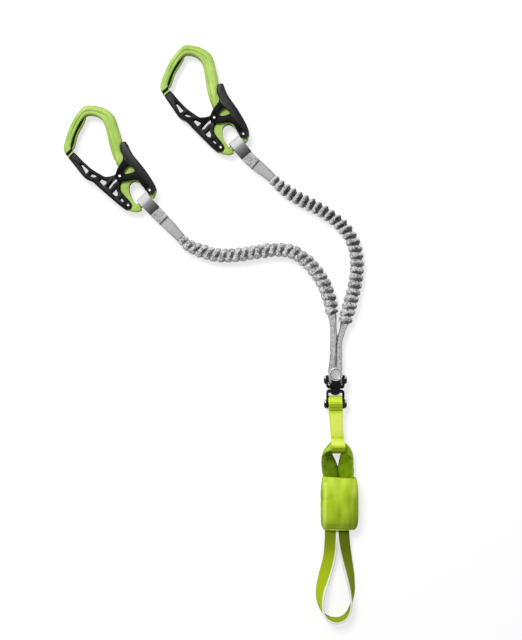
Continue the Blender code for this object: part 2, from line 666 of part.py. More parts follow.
def carabiner(side, place, turn_deg):
    """One carabiner with its gate, lever, pins and spring, on empties at its joints."""
    frame = empty(f"{side}_carabiner_frame", (*place, CARABINER_HEIGHT), math.radians(turn_deg))
    gate_face = GATE_INNER_WIDTH / 2 + GATE_PLATE
    lever_face = LEVER_INNER_WIDTH / 2 + LEVER_CHEEK
    finish(carabiner_body(side), GREEN_METAL, frame)
    finish(rivet(f"{side}_gate_rivet", spot(*GATE_PIVOT_SHARES),
                 gate_face + SEAT_GAP + HEAD_THICKNESS - HEAD_PROUD), SILVER, frame)
    finish(rivet(f"{side}_lever_rivet", spot(*LEVER_PIVOT_SHARES), lever_face), SILVER, frame)
    for part, pivot, build in (("gate", GATE_PIVOT_SHARES, [(carabiner_gate, BLACK)]),
                               ("lever", LEVER_PIVOT_SHARES, [(palm_lever, BLACK), (lever_spring, STEEL)])):
        axis = empty(f"{side}_{part}_pivot", (*spot(*pivot), 0), 0.0, frame)
        moving = [finish(make(side), surface, axis) for make, surface in build]
        if part == "lever":
            pin = rivet(f"{side}_lock_pin", spot(*LOCK_PIN_SHARES), lever_face)
            moving.append(finish(pin, SILVER, axis))
        for piece in moving:
            piece.location = (*-spot(*pivot), 0)


def sleeve_width():
    """The wear sleeve's width, which clears the eye's sides."""
    inner = [x for x, y, *mark in EYE_SHARES if mark]
    return (max(inner) - min(inner)) * CARABINER_LENGTH / CARABINER_SHARES - 2 * SLEEVE_SIDE_CLEARANCE


def loop_ring(radius, leg_half, leg_length):
    """A side outline of a loop: round at the origin, its leg running to minus Y."""
    arc = [math.radians(a) for a in LOOP_TURNS_DEG]
    ring = [Vector((radius * math.cos(a), radius * math.sin(a))) for a in arc]
    low = [Vector((-leg_length, -leg_half)), Vector((-LOOP_CONVERGE, -leg_half))]
    high = [Vector((-LOOP_CONVERGE, leg_half)), Vector((-leg_length, leg_half))]
    return low + ring + high


def resample(route, pitch):
    """Even steps along a smooth open curve through the route's points, and how many."""
    points = [Vector(point) for point in route]
    ghosts = [2 * points[0] - points[1]] + points + [2 * points[-1] - points[-2]]
    fine = []
    for a, b, c, d in zip(ghosts, ghosts[1:], ghosts[2:], ghosts[3:]):
        for k in range(FINE_STEPS):
            t = k / FINE_STEPS
            fine.append(0.5 * (2 * b + (c - a) * t + (2 * a - 5 * b + 4 * c - d) * t * t
                               + (3 * b - a - 3 * c + d) * t ** 3))
    fine.append(points[-1])
    lengths = [0.0]
    for a, b in zip(fine, fine[1:]):
        lengths.append(lengths[-1] + (b - a).length)
    count = max(2, round(lengths[-1] / pitch))
    even, k = [], 0
    for step in range(count + 1):
        goal = lengths[-1] * step / count
        while k < len(fine) - 2 and lengths[k + 1] < goal:
            k += 1
        part = (goal - lengths[k]) / max(lengths[k + 1] - lengths[k], WELD)
        even.append(fine[k].lerp(fine[k + 1], min(part, 1.0)))
    return even


def directions(route):
    """The unit direction of a route at each of its points."""
    return [(route[min(k + 1, len(route) - 1)] - route[max(k - 1, 0)]).normalized() for k in range(len(route))]


def elastic_arm(side, route):
    """The gathered tubular webbing: a rib and a valley in turn, with a plain bore."""
    steps = resample(route, RIB_PITCH / 2)
    if len(steps) % 2 == 0:
        steps = resample(route, (RIB_PITCH / 2) * (len(steps) - 1) / len(steps))
    radii = []
    for k in range(len(steps)):
        rib = min(k, len(steps) - 1 - k) // 2
        grown = END_RIB_SHARES[rib] if rib < len(END_RIB_SHARES) else 1.0
        radii.append((ARM_DIAMETER if k % 2 else ARM_VALLEY_DIAMETER) / 2 * grown)
    centres = [(*step, ARM_HEIGHT) for step in steps]
    hose = tube(f"{side}_elastic_arm", centres, radii, 2)
    first, last = Vector(centres[0]), Vector(centres[-1])
    start = first + (first - Vector(centres[1])).normalized() * CUT_OVERRUN
    end = last + (last - Vector(centres[-2])).normalized() * CUT_OVERRUN
    bore_route = [start] + [Vector(centre) for centre in centres[::4]] + [last, end]
    bore_route = [spot for k, spot in enumerate(bore_route)
                  if k == 0 or (spot - bore_route[k - 1]).length > RIB_PITCH / 4]
    hose = cut(hose, tube("bore_cutter", bore_route, [ARM_BORE / 2] * len(bore_route), 1))
    core_route = [Vector(centre) for centre in centres[::4]]
    if (core_route[-1] - last).length > RIB_PITCH / 4:
        core_route.append(last)
    core = tube(f"{side}_elastic_core", core_route, [CORE_DIAMETER / 2] * len(core_route), 1)
    finish(hose, GREY_WEBBING)
    finish(core, BLACK_RUBBER)


def end_loop(side, bar_place, turn_deg, arm_start):
    """The sewn webbing round the bar, running on to the elastic arm, and its wear sleeve."""
    turn = Matrix.Translation((*bar_place, CARABINER_HEIGHT)) @ Matrix.Rotation(math.radians(turn_deg), 4, "Z")
    bore = BAR_DIAMETER / 2 + SEAT_GAP
    radius = bore + LOOP_WALL
    wide = sleeve_width()
    half = wide / 2 - WEBBING_INSET / 2
    outline = loop_ring(radius, LEG_THICKNESS / 2, LOOP_LEG)
    wrap = side_slab(f"{side}_end_loop", [outline, circle((0, 0), bore, HOLE_SIDES)], -half, half)
    wrap.data.transform(turn)
    down = turn.to_3x3() @ Vector((0, -1, 0))
    across = turn.to_3x3() @ Vector((1, 0, 0))
    begin = turn @ Vector((0, -LOOP_LEG + CUT_OVERRUN / 2, 0))
    target = Vector((*arm_start[0], ARM_HEIGHT))
    finally_along = Vector((*(Vector(arm_start[1]) - Vector(arm_start[0])).normalized(), 0))
    target -= finally_along * SEAT_GAP
    stations = []
    for k, share in enumerate(LEG_STEP_SHARES):
        span = (target - begin).length
        centre = (begin * (2 * share ** 3 - 3 * share ** 2 + 1) + down * span * (share ** 3 - 2 * share ** 2 + share)
                  + target * (3 * share ** 2 - 2 * share ** 3) + finally_along * span * (share ** 3 - share ** 2))
        along = down.lerp(finally_along, share).normalized()
        side_way = along.cross(Vector((0, 0, 1))) * -1
        narrow = max(0.0, (share - LEG_TAPER_START) / (1 - LEG_TAPER_START))
        width = (2 * half - LEG_INSET) * (1 - narrow) + LEG_WIDTH_AT_ARM * narrow
        deep = (LEG_THICKNESS - LEG_INSET) * (1 - narrow) + LEG_THICKNESS_AT_ARM * narrow
        stations.append((centre, side_way, Vector((0, 0, 1)), webbing_ring(width, deep)))
    finish(join(wrap, loft("leg", stations)), GREY_WEBBING)
    outer = radius + SEAT_GAP + SLEEVE_WALL
    leg_outer = LEG_THICKNESS / 2 + SEAT_GAP + SLEEVE_WALL
    inner_ring = loop_ring(radius + SEAT_GAP, LEG_THICKNESS / 2 + SEAT_GAP, SLEEVE_LENGTH)
    u_shape = loop_ring(outer, leg_outer, SLEEVE_LENGTH) + inner_ring[::-1]
    sleeve = side_slab(f"{side}_wear_sleeve", [u_shape], -wide / 2, wide / 2)
    sleeve.data.transform(turn)
    finish(sleeve, GREY_WEBBING)


def lower_strand(side, route, width, arm_route, loop_x):
    """The webbing from the elastic arm's end to its loop round the upper bolt."""
    bolt = Vector((loop_x, SWIVEL_Y + upper_bolt_y(), SWIVEL_HEIGHT))
    bore = BOLT_DIAMETER / 2 + SEAT_GAP
    outline = loop_ring(bore + ARM_LOOP_WALL, STRAND_THICKNESS / 2, STRAND_LOOP_LEG)
    half = ARM_LOOP_WIDTH / 2
    wrap = side_slab(f"{side}_lower_strand", [outline, circle((0, 0), bore, HOLE_SIDES)], -half, half)
    wrap.data.transform(Matrix.Translation(bolt) @ Matrix.Rotation(math.pi, 4, "Z"))
    arm_end = Vector(arm_route[-1])
    arm_along = (arm_end - Vector(arm_route[-2])).normalized()
    flat = [arm_end + arm_along * SEAT_GAP] + [Vector(point) for point in route]
    flat.append(Vector((bolt.x, bolt.y + STRAND_LOOP_LEG - CUT_OVERRUN / 2)))
    alongs = directions(flat)
    alongs[0], alongs[-1] = arm_along, Vector((0, -1))
    stations = []
    for k, (place, along) in enumerate(zip(flat, alongs)):
        share = k / (len(flat) - 1)
        height = ARM_HEIGHT + (SWIVEL_HEIGHT - ARM_HEIGHT) * share
        near_bolt = max(0.0, 2 * share - 1)
        wide = width * (1 - near_bolt) + (ARM_LOOP_WIDTH - LEG_INSET) * near_bolt
        stations.append((Vector((*place, height)), Vector((-along.y, along.x, 0)), Vector((0, 0, 1)),
                         webbing_ring(wide, STRAND_THICKNESS - LEG_INSET)))
    finish(join(wrap, loft("leg", stations)), GREY_WEBBING)


# Swivel

def upper_base_y():
    """The underside of the upper fork's base, over the washer, from the swivel's origin."""
    return LOWER_BAR_THICKNESS + WASHER_THICKNESS + 2 * SEAT_GAP


def upper_bolt_y():
    """The upper bolt's height along the swivel's axis."""
    return upper_base_y() + UPPER_BOLT_RISE


def swivel_place(x, y, z=0.0):
    """A place measured from the swivel's origin."""
    return Vector((SWIVEL_X + x, SWIVEL_Y + y, SWIVEL_HEIGHT + z))


def fork(name, gap, base_low, base_high, bolt_y, reach, pin_bore):
    """A U of plate with rounded corners, a bolt hole across its walls and a pin hole in its base."""
    sign = 1 if bolt_y > base_low else -1
    inner, outer = gap / 2, gap / 2 + FORK_WALL
    tip = bolt_y + sign * reach
    back, front = (base_low, base_high) if sign > 0 else (base_high, base_low)
    ring = [Vector((-outer, tip)), Vector((-outer, back + sign * FORK_CORNER)),
            Vector((-outer + FORK_CORNER * BEND_SHARE, back + sign * FORK_CORNER * BEND_SHARE)),
            Vector((-outer + FORK_CORNER, back)), Vector((outer - FORK_CORNER, back)),
            Vector((outer - FORK_CORNER * BEND_SHARE, back + sign * FORK_CORNER * BEND_SHARE)),
            Vector((outer, back + sign * FORK_CORNER)), Vector((outer, tip)), Vector((inner, tip)),
            Vector((inner, front)), Vector((-inner, front)), Vector((-inner, tip))]
    half = FORK_HEIGHT / 2
    body = slab(name, [ring], -half, half)
    far = back - sign * CUT_OVERRUN
    round_end = [Vector((bolt_y + sign * reach * math.sin(a), half * math.cos(a)))
                 for a in (math.pi * k / ROUND_STEPS for k in range(ROUND_STEPS + 1))]
    profile = [Vector((far, half + CUT_OVERRUN)), Vector((bolt_y, half + CUT_OVERRUN))] + round_end
    profile += [Vector((bolt_y, -half - CUT_OVERRUN)), Vector((far, -half - CUT_OVERRUN))]
    body = combine(body, [side_slab("end_shape", [profile], -outer - CUT_OVERRUN, outer + CUT_OVERRUN)],
                   "INTERSECT")
    cutters = [rod("bolt_cutter", BOLT_DIAMETER / 2 + SEAT_GAP, -outer - CUT_OVERRUN, outer + CUT_OVERRUN,
                   HOLE_SIDES, "X", (0, bolt_y, 0)),
               rod("pin_cutter", pin_bore, min(base_low, base_high) - CUT_OVERRUN / 2,
                   max(base_low, base_high) + CUT_OVERRUN / 2, HOLE_SIDES, "Y")]
    return cut(body, *cutters)


def bolt_and_nut(prefix, outer, bolt_y):
    """A bolt with a socket head on the left and a round nut on the right."""
    radius, head = BOLT_DIAMETER / 2, BOLT_HEAD_DIAMETER / 2
    seat = outer + SEAT_GAP
    end = seat + BOLT_HEAD_THICKNESS
    soft = head * DOME_SHARE
    profile = [(0, -end), (soft, -end), (head, -end + BOLT_HEAD_THICKNESS / 2), (head, -seat),
               (radius, -seat), (radius, end), (0, end)]
    bolt = turned(f"{prefix}_bolt", profile, HEAD_SIDES, "X", (0, bolt_y, 0))
    socket = slab("socket_cutter", [circle((0, 0), BOLT_SOCKET_WIDTH / 2, HOLE_SIDES // 2)], -CUT_OVERRUN, BOLT_SOCKET_DEPTH)
    socket.data.transform(Matrix.Translation((-end, bolt_y, 0)) @ Matrix.Rotation(math.pi / 2, 4, "Y"))
    bolt = cut(bolt, socket)
    profile = [(0, seat), (head, seat), (head, end - BOLT_HEAD_THICKNESS / 2), (soft, end), (0, end)]
    nut = turned(f"{prefix}_nut", profile, HEAD_SIDES, "X", (0, bolt_y, 0))
    nut = cut(nut, rod("bore_cutter", radius + SEAT_GAP, seat - CUT_OVERRUN, end + CUT_OVERRUN, HOLE_SIDES, "X",
                       (0, bolt_y, 0)))
    return bolt, nut


def keeper():
    """The tongue over the arm loops: a foot on the upper fork, a neck and a round pad."""
    foot_low = upper_base_y() + SEAT_GAP
    foot_high = foot_low + KEEPER_FOOT_LENGTH
    neck, foot, radius = KEEPER_NECK_WIDTH / 2, KEEPER_FOOT_WIDTH / 2, CAP_DIAMETER / 2
    pad_y = upper_base_y() + CAP_RISE
    opening = math.asin(neck / radius)
    turns = [-math.pi / 2 + opening + (2 * math.pi - 2 * opening) * k / 20 for k in range(21)]
    ring = [Vector((-foot, foot_low)), Vector((foot, foot_low)), Vector((foot, foot_high)),
            Vector((neck, foot_high + KEEPER_FOOT_LENGTH))]
    ring += [Vector((radius * math.cos(a), pad_y + radius * math.sin(a))) for a in turns]
    ring += [Vector((-neck, foot_high + KEEPER_FOOT_LENGTH)), Vector((-foot, foot_high))]
    low = FORK_HEIGHT / 2 + SEAT_GAP
    return slab("keeper", [ring], low, low + KEEPER_THICKNESS)


def keeper_cap():
    """The bright round cap on the keeper's pad, with a rim and a shallow dish."""
    low = FORK_HEIGHT / 2 + 2 * SEAT_GAP + KEEPER_THICKNESS
    top = low + CAP_THICKNESS
    radius = CAP_DIAMETER / 2
    dish = radius - CAP_RIM
    profile = [(0, low), (radius, low), (radius, top - CAP_DISH), (radius - CAP_DISH, top),
               (dish, top), (dish - CAP_DISH, top - CAP_DISH), (0, top - CAP_DISH)]
    return turned("keeper_cap", profile, 2 * HOLE_SIDES, "Z", (0, upper_base_y() + CAP_RISE, 0))


def swivel_pin():
    """The swivel's pin: a domed head in the lower fork and a flare sunk in the upper fork's base."""
    radius, head, flare = SWIVEL_PIN_DIAMETER / 2, SWIVEL_HEAD_DIAMETER / 2, SWIVEL_FLARE_DIAMETER / 2
    top = upper_base_y() + UPPER_BASE_THICKNESS
    face = -SEAT_GAP
    profile = [(0, face - SWIVEL_HEAD_THICKNESS), (head * 0.45, face - SWIVEL_HEAD_THICKNESS * 0.92),
               (head * 0.8, face - SWIVEL_HEAD_THICKNESS * 0.66), (head, face - SWIVEL_HEAD_THICKNESS * 0.3),
               (head, face), (radius, face), (radius, top - SWIVEL_FLARE_THICKNESS),
               (flare, top - SWIVEL_FLARE_THICKNESS), (flare, top), (0, top)]
    return turned("swivel_pin", profile, HEAD_SIDES, "Y")


def swivel():
    """The swivel: two forks on a pin, their bolts, the keeper and its cap."""
    base_low = upper_base_y()
    base_high = base_low + UPPER_BASE_THICKNESS
    pin_bore = SWIVEL_PIN_DIAMETER / 2 + SEAT_GAP
    lower_outer = LOWER_FORK_GAP / 2 + FORK_WALL
    upper_outer = UPPER_FORK_GAP / 2 + FORK_WALL
    lower_axis = empty("lower_fork_axis", swivel_place(0, -LOWER_BOLT_DROP))
    spin_axis = empty("swivel_axis", swivel_place(0, 0))
    lower = fork("lower_fork", LOWER_FORK_GAP, 0.0, LOWER_BAR_THICKNESS, -LOWER_BOLT_DROP,
                 LOWER_WALL_REACH, pin_bore)
    upper = fork("upper_fork", UPPER_FORK_GAP, base_low, base_high, upper_bolt_y(), UPPER_WALL_REACH, pin_bore)
    flare_seat = rod("flare_cutter", SWIVEL_FLARE_DIAMETER / 2 + SEAT_GAP,
                     base_high - SWIVEL_FLARE_THICKNESS - SEAT_GAP, base_high + CUT_OVERRUN / 2, HEAD_SIDES, "Y")
    upper = cut(upper, flare_seat)
    washer_low = LOWER_BAR_THICKNESS + SEAT_GAP
    washer = rod("swivel_washer", WASHER_DIAMETER / 2, washer_low, washer_low + WASHER_THICKNESS, HEAD_SIDES, "Y")
    washer = cut(washer, rod("bore_cutter", pin_bore, 0.0, base_high, HOLE_SIDES, "Y"))
    low_bolt, low_nut = bolt_and_nut("lower", lower_outer, -LOWER_BOLT_DROP)
    high_bolt, high_nut = bolt_and_nut("upper", upper_outer, upper_bolt_y())
    for piece, surface in ((lower, BLACK), (low_bolt, DARK_STEEL), (low_nut, DARK_STEEL)):
        finish(piece, surface, lower_axis).location = (0, LOWER_BOLT_DROP, 0)
    for piece, surface in ((upper, BLACK), (washer, STEEL), (swivel_pin(), DARK_STEEL), (high_bolt, DARK_STEEL),
                           (high_nut, DARK_STEEL), (keeper(), BLACK), (keeper_cap(), SILVER)):
        finish(piece, surface, spin_axis)


# Sling, absorber and tie-in loop

def sling_low_place():
    """The crown's centre, in the sling's lower end."""
    return swivel_place(SLING_SHIFT, -LOWER_BOLT_DROP - SLING_LENGTH)


def pouch_centre():
    """The pouch's middle, below the sling's lower end."""
    return sling_low_place() + Vector((POUCH_SHIFT, -POUCH_DROP, 0))


def label_sling():
    """The bright sling: a loop at each end and sewn layers between, drifting a little sideways."""
    top_radius = BOLT_DIAMETER / 2 + SEAT_GAP + SLING_TOP_WALL
    low_radius = SLING_LOW_BORE / 2 + SLING_LOW_WALL
    half = SLING_THICKNESS / 2
    bends = [math.radians(a) for a in LOOP_TURNS_DEG]
    top = [Vector((top_radius * math.cos(a), top_radius * math.sin(a))) for a in bends]
    low = [Vector((-SLING_LENGTH - low_radius * math.cos(a), -low_radius * math.sin(a))) for a in bends]
    first, last = -top_radius * 1.5, -SLING_LENGTH + low_radius * 1.5
    runs = [first + (last - first) * k / SLING_STEPS for k in range(SLING_STEPS + 1)]
    ring = top + [Vector((y, half)) for y in runs] + low + [Vector((y, -half)) for y in reversed(runs)]
    holes = [circle((0, 0), BOLT_DIAMETER / 2 + SEAT_GAP, HOLE_SIDES),
             circle((-SLING_LENGTH, 0), SLING_LOW_BORE / 2, HEAD_SIDES)]
    sling = side_slab("label_sling", [ring] + holes, -SLING_WIDTH / 2, SLING_WIDTH / 2)
    for vertex in sling.data.vertices:
        share = min(max((first - vertex.co.y) / (first - last), 0.0), 1.0)
        vertex.co.x += SLING_SHIFT * share * share * (3 - 2 * share)
    axis = empty("label_sling_axis", sling_low_place())
    finish(sling, BRIGHT_WEBBING, axis).location = (-SLING_SHIFT, SLING_LENGTH, 0)


ABSORBER_OUTER_SHARES = [
    (-14.3, -2.4), (-16.6, -12.0), (-16.6, -21.3), (-15.4, -29.0), (-12.8, -35.0), (-12.6, -46.0, "corner"),
    (12.8, -46.0, "corner"), (13.0, -35.0), (15.4, -29.0), (15.4, -21.3), (14.2, -9.8), (11.6, -2.6),
]
ABSORBER_OPENING_SHARES = [(3.6, -9.0), (-0.6, -21.0), (-6.2, -8.8)]


def absorber_loop():
    """The dark loop of the absorber: an arch whose crown lies in the sling and whose legs meet below."""
    unit = ABSORBER_LOOP_LENGTH / LENGTH_SHARES
    crown = CROWN_WIDTH / 2
    side = SLING_WIDTH / 2 + SEAT_GAP
    clear = SLING_LOW_BORE / 2 + SLING_LOW_WALL + SEAT_GAP
    outer = [(side * 1.15, crown, "corner"), (-side * 1.15, crown, "corner")]
    outer += [(x * unit, y * unit, *mark) for x, y, *mark in ABSORBER_OUTER_SHARES]
    opening = [Vector((-side, -crown)), Vector((side, -crown)), Vector((side, -clear))]
    opening += [Vector((x * unit, y * unit)) for x, y in ABSORBER_OPENING_SHARES]
    opening.append(Vector((-side, -clear)))
    arch = slab("absorber_loop", [smooth_ring(outer, 2), opening], -CROWN_THICKNESS / 2, CROWN_THICKNESS / 2,
                CROWN_EDGE_RADIUS)
    finish(arch, DARK_WEBBING).location = sling_low_place()


POUCH_SECTION_SHARES = [
    (0.0, 0.92, 0.6, 0.37), (0.06, 0.94, 0.74, 0.43), (0.2, 0.985, 0.94, 0.49), (0.42, 1.0, 1.0, 0.5),
    (0.66, 0.99, 0.98, 0.5), (0.84, 0.96, 0.86, 0.46), (0.95, 0.93, 0.68, 0.42), (1.0, 0.92, 0.56, 0.4),
]


def pouch():
    """The fabric pouch: a padded sleeve with open ends, pressed flat where it lies on the table."""
    shell = bmesh.new()
    rings = []
    half = (POUCH_THICKNESS + POUCH_DIP) / 2
    for along, wide, deep, lift in POUCH_SECTION_SHARES:
        y = POUCH_LENGTH / 2 - along * POUCH_LENGTH
        z = (POUCH_THICKNESS + POUCH_DIP) * lift - POUCH_DIP
        ring = []
        for k in range(POUCH_SIDES):
            a = 2 * math.pi * k / POUCH_SIDES
            x = math.copysign(abs(math.cos(a)) ** POUCH_SQUARENESS, math.cos(a)) * POUCH_WIDTH / 2 * wide
            up = math.copysign(abs(math.sin(a)) ** POUCH_SQUARENESS, math.sin(a)) * half * deep
            ring.append(shell.verts.new((pouch_centre().x + x, pouch_centre().y + y, max(z + up, 0.0))))
        rings.append(ring)
    for first, second in zip(rings, rings[1:]):
        for k in range(POUCH_SIDES):
            shell.faces.new((first[k], second[k], second[(k + 1) % POUCH_SIDES], first[(k + 1) % POUCH_SIDES]))
    mesh = bpy.data.meshes.new("pouch")
    shell.to_mesh(mesh)
    shell.free()
    piece = add_object("pouch", mesh)
    wall = piece.modifiers.new("wall", "SOLIDIFY")
    wall.thickness = POUCH_WALL
    wall.offset = 1.0 if pouch_faces_inward(piece) else -1.0
    finish(as_mesh(piece), GREEN_FABRIC)


def pouch_faces_inward(piece):
    """Whether the first face looks at the pouch's middle line."""
    face = piece.data.polygons[0]
    middle = Vector((pouch_centre().x, face.center.y, POUCH_THICKNESS / 2))
    return face.normal.dot(middle - face.center) > 0


def absorber_pack():
    """The folded absorber webbing in the pouch: layers joined by round folds."""
    low = pouch_centre().y - PACK_LENGTH / 2 + PACK_SHIFT
    ends = (low + PACK_PITCH / 2, low + PACK_LENGTH - PACK_PITCH / 2)
    bottom = POUCH_THICKNESS / 2 - PACK_PITCH * (PACK_LAYERS - 1) / 2
    path = []
    for layer in range(PACK_LAYERS):
        z = bottom + layer * PACK_PITCH
        start, end = ends if layer % 2 == 0 else ends[::-1]
        path += [Vector((start, z)), Vector((end, z))]
        if layer < PACK_LAYERS - 1:
            way = 1 if end > start else -1
            for k in range(1, FOLD_STEPS):
                a = math.pi * k / FOLD_STEPS
                path.append(Vector((end + way * PACK_PITCH / 2 * math.sin(a),
                                    z + PACK_PITCH / 2 - PACK_PITCH / 2 * math.cos(a))))
    alongs = directions(path)
    sides = [Vector((-along.y, along.x)) * PACK_LAYER / 2 for along in alongs]
    ring = [place + side for place, side in zip(path, sides)]
    ring += [place - side for place, side in reversed(list(zip(path, sides)))]
    centre = pouch_centre().x
    pack = side_slab("absorber_pack", [ring], centre - PACK_WIDTH / 2, centre + PACK_WIDTH / 2)
    finish(pack, DARK_WEBBING)


TIE_IN_ROUTE_SHARES = [
    (-5.6, 57.0), (-5.6, 46.0), (-5.8, 36.0), (-6.2, 26.0), (-7.6, 15.0), (-10.0, 4.0), (-12.6, -5.0),
    (-14.8, -13.0), (-15.6, -20.0), (-15.4, -26.0), (-14.2, -32.0), (-11.6, -37.6), (-7.6, -41.6),
    (-2.6, -43.6), (2.8, -43.8), (8.0, -41.6), (12.0, -37.2), (14.6, -31.0), (15.8, -24.0), (16.1, -16.0),
    (15.4, -8.0), (14.0, 1.0), (12.2, 11.0), (10.2, 22.0), (8.6, 33.0), (7.6, 44.0), (7.4, 57.0),
]
TIE_IN_TILTS_DEG = [
    0, 4, 8, 12, 16, 20, 30, 44, 54, 64, 76, 88, 97, 103, 104, 102, 97, 91, 80, 66, 56, 46, 38, 28, 20, 10, 0,
]
TIE_IN_DROP_SHARES = (4.0, 46.0)


def tie_in_loop():
    """The tie-in loop: webbing that leaves the pouch flat and turns onto its edge round the end."""
    unit = TIE_IN_LENGTH / TIE_IN_SHARES
    mouth = pouch_centre().y - POUCH_LENGTH / 2 + TIE_IN_TUCK
    centre = Vector((pouch_centre().x - TIE_IN_OFFSET, mouth - TIE_IN_ROUTE_SHARES[0][1] * unit))
    route = [centre + Vector(point) * unit for point in TIE_IN_ROUTE_SHARES]
    low, high = TIE_IN_DROP_SHARES
    stations = []
    for place, along, tilt_deg, share in zip(route, directions(route), TIE_IN_TILTS_DEG, TIE_IN_ROUTE_SHARES):
        tilt = math.radians(tilt_deg)
        inward = Vector((-along.y, along.x, 0))
        across = inward * math.cos(tilt) + Vector((0, 0, math.sin(tilt)))
        thick = Vector((*along, 0)).cross(across)
        rest = abs(math.sin(tilt)) * TIE_IN_WIDTH / 2 + abs(math.cos(tilt)) * TIE_IN_THICKNESS / 2 + TIE_IN_FOOT
        rise = min(max((share[1] - low) / (high - low), 0.0), 1.0)
        height = rest + (TIE_IN_LIFT - rest) * rise * rise * (3 - 2 * rise)
        stations.append((Vector((*place, height)), across, thick, webbing_ring(TIE_IN_WIDTH, TIE_IN_THICKNESS)))
    finish(loft("tie_in_loop", stations), TIE_IN_WEBBING)


def main():
    carabiner("left", LEFT_BAR_PLACE, LEFT_TURN_DEG)
    carabiner("right", RIGHT_BAR_PLACE, RIGHT_TURN_DEG)
    loop_step = ARM_LOOP_WIDTH / 2 + ARM_LOOP_GAP / 2
    arms = (("left", LEFT_BAR_PLACE, LEFT_TURN_DEG, LEFT_ARM_ROUTE, LEFT_STRAND_ROUTE, LEFT_STRAND_WIDTH, -1),
            ("right", RIGHT_BAR_PLACE, RIGHT_TURN_DEG, RIGHT_ARM_ROUTE, RIGHT_STRAND_ROUTE,
             RIGHT_STRAND_WIDTH, 1))
    for side, bar_place, turn_deg, arm_route, strand_route, width, sign in arms:
        end_loop(side, bar_place, turn_deg, arm_route)
        elastic_arm(side, arm_route)
        lower_strand(side, strand_route, width, arm_route, SWIVEL_X + sign * loop_step)
    swivel()
    label_sling()
    absorber_loop()
    pouch()
    absorber_pack()
    tie_in_loop()


clear_scene()
LANYARD = new_collection("via_ferrata_lanyard")
GREEN_METAL = material("green_anodised", (0.42, 0.66, 0.12), 0.35, 0.6)
BLACK = material("black_coated", (0.02, 0.021, 0.023), 0.45, 0.2)
SILVER = material("bright_steel", (0.72, 0.72, 0.72), 0.25, 1.0)
STEEL = material("spring_steel", (0.45, 0.45, 0.46), 0.35, 1.0)
DARK_STEEL = material("blackened_steel", (0.05, 0.05, 0.055), 0.4, 0.8)
GREY_WEBBING = material("grey_webbing", (0.42, 0.42, 0.42), 0.85)
BLACK_RUBBER = material("black_elastic", (0.03, 0.03, 0.03), 0.8)
BRIGHT_WEBBING = material("bright_webbing", (0.62, 0.84, 0.07), 0.8)
DARK_WEBBING = material("dark_green_webbing", (0.1, 0.2, 0.02), 0.85)
GREEN_FABRIC = material("green_fabric", (0.38, 0.6, 0.04), 0.8)
TIE_IN_WEBBING = material("tie_in_webbing", (0.3, 0.46, 0.03), 0.85)
main()
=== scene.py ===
import bpy
import math
from mathutils import Matrix, Vector, noise


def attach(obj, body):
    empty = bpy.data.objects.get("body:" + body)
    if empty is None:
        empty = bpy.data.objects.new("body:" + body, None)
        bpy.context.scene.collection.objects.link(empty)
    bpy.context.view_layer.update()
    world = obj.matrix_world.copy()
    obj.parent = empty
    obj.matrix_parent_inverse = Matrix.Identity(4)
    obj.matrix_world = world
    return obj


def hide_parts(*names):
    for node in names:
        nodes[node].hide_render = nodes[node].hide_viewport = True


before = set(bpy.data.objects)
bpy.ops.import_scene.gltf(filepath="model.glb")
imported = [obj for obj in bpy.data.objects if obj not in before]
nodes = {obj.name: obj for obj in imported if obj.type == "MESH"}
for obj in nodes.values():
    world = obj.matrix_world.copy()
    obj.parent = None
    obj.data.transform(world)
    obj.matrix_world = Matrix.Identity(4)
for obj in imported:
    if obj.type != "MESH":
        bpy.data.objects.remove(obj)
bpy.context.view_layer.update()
mm = 0.001
print("frame loaded:", len(nodes), "nodes")


# small helpers for picking, shaping and finishing

def deselectAll():
    if bpy.context.object and bpy.context.object.mode != "OBJECT":
        bpy.ops.object.mode_set(mode="OBJECT")
    bpy.ops.object.select_all(action="DESELECT")


def takeUp(piece):
    deselectAll()
    piece.select_set(True)
    bpy.context.view_layer.objects.active = piece


def named(name):  # the primitive that was just added
    piece = bpy.context.object
    piece.name = name
    piece.data.name = name
    return piece


def editing(piece, pickAll=True, kind="VERT"):
    takeUp(piece)
    bpy.ops.object.mode_set(mode="EDIT")
    bpy.ops.mesh.select_mode(type=kind)
    bpy.ops.mesh.select_all(action="SELECT" if pickAll else "DESELECT")


def editingDone():
    bpy.ops.object.mode_set(mode="OBJECT")


def pickVertices(piece, test):  # selects in edit mode the vertices that pass the test
    editing(piece, False)
    editingDone()
    for vertex in piece.data.vertices:
        vertex.select = test(vertex.co)
    bpy.ops.object.mode_set(mode="EDIT")


def pickFaces(piece, test, kind="VERT"):  # faces that pass the test, and by VERT those that they close in
    editing(piece, False, kind)
    editingDone()
    for face in piece.data.polygons:
        face.select = test(face)
    bpy.ops.object.mode_set(mode="EDIT")
    bpy.ops.mesh.select_mode(type="FACE")


def giveFinishes(piece, *materials):
    piece.data.materials.clear()
    for material in materials:
        piece.data.materials.append(material)


def applyModifier(piece, kind, **values):
    takeUp(piece)
    added = piece.modifiers.new(kind.lower(), kind)
    for name, value in values.items():
        setattr(added, name, value)
    bpy.ops.object.modifier_apply(modifier=added.name)


def joined(first, *others):
    takeUp(first)
    for other in others:
        other.select_set(True)
    bpy.ops.object.join()
    return first


def copied(piece, name):  # a copy with its own mesh
    twin = bpy.data.objects.new(name, piece.data.copy())
    bpy.context.scene.collection.objects.link(twin)
    return twin


def moved(piece, matrix):
    piece.data.transform(matrix)
    return piece


def finishPiece(piece, body, slotName, material, *replaced, smoothAt=38):
    if smoothAt:
        takeUp(piece)
        bpy.ops.object.shade_smooth_by_angle(angle=math.radians(smoothAt))
    if len(piece.data.materials) < 2:  # a piece with two finishes already has them
        giveFinishes(piece, material)
    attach(piece, body)
    if replaced:
        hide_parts(*replaced)
    return piece


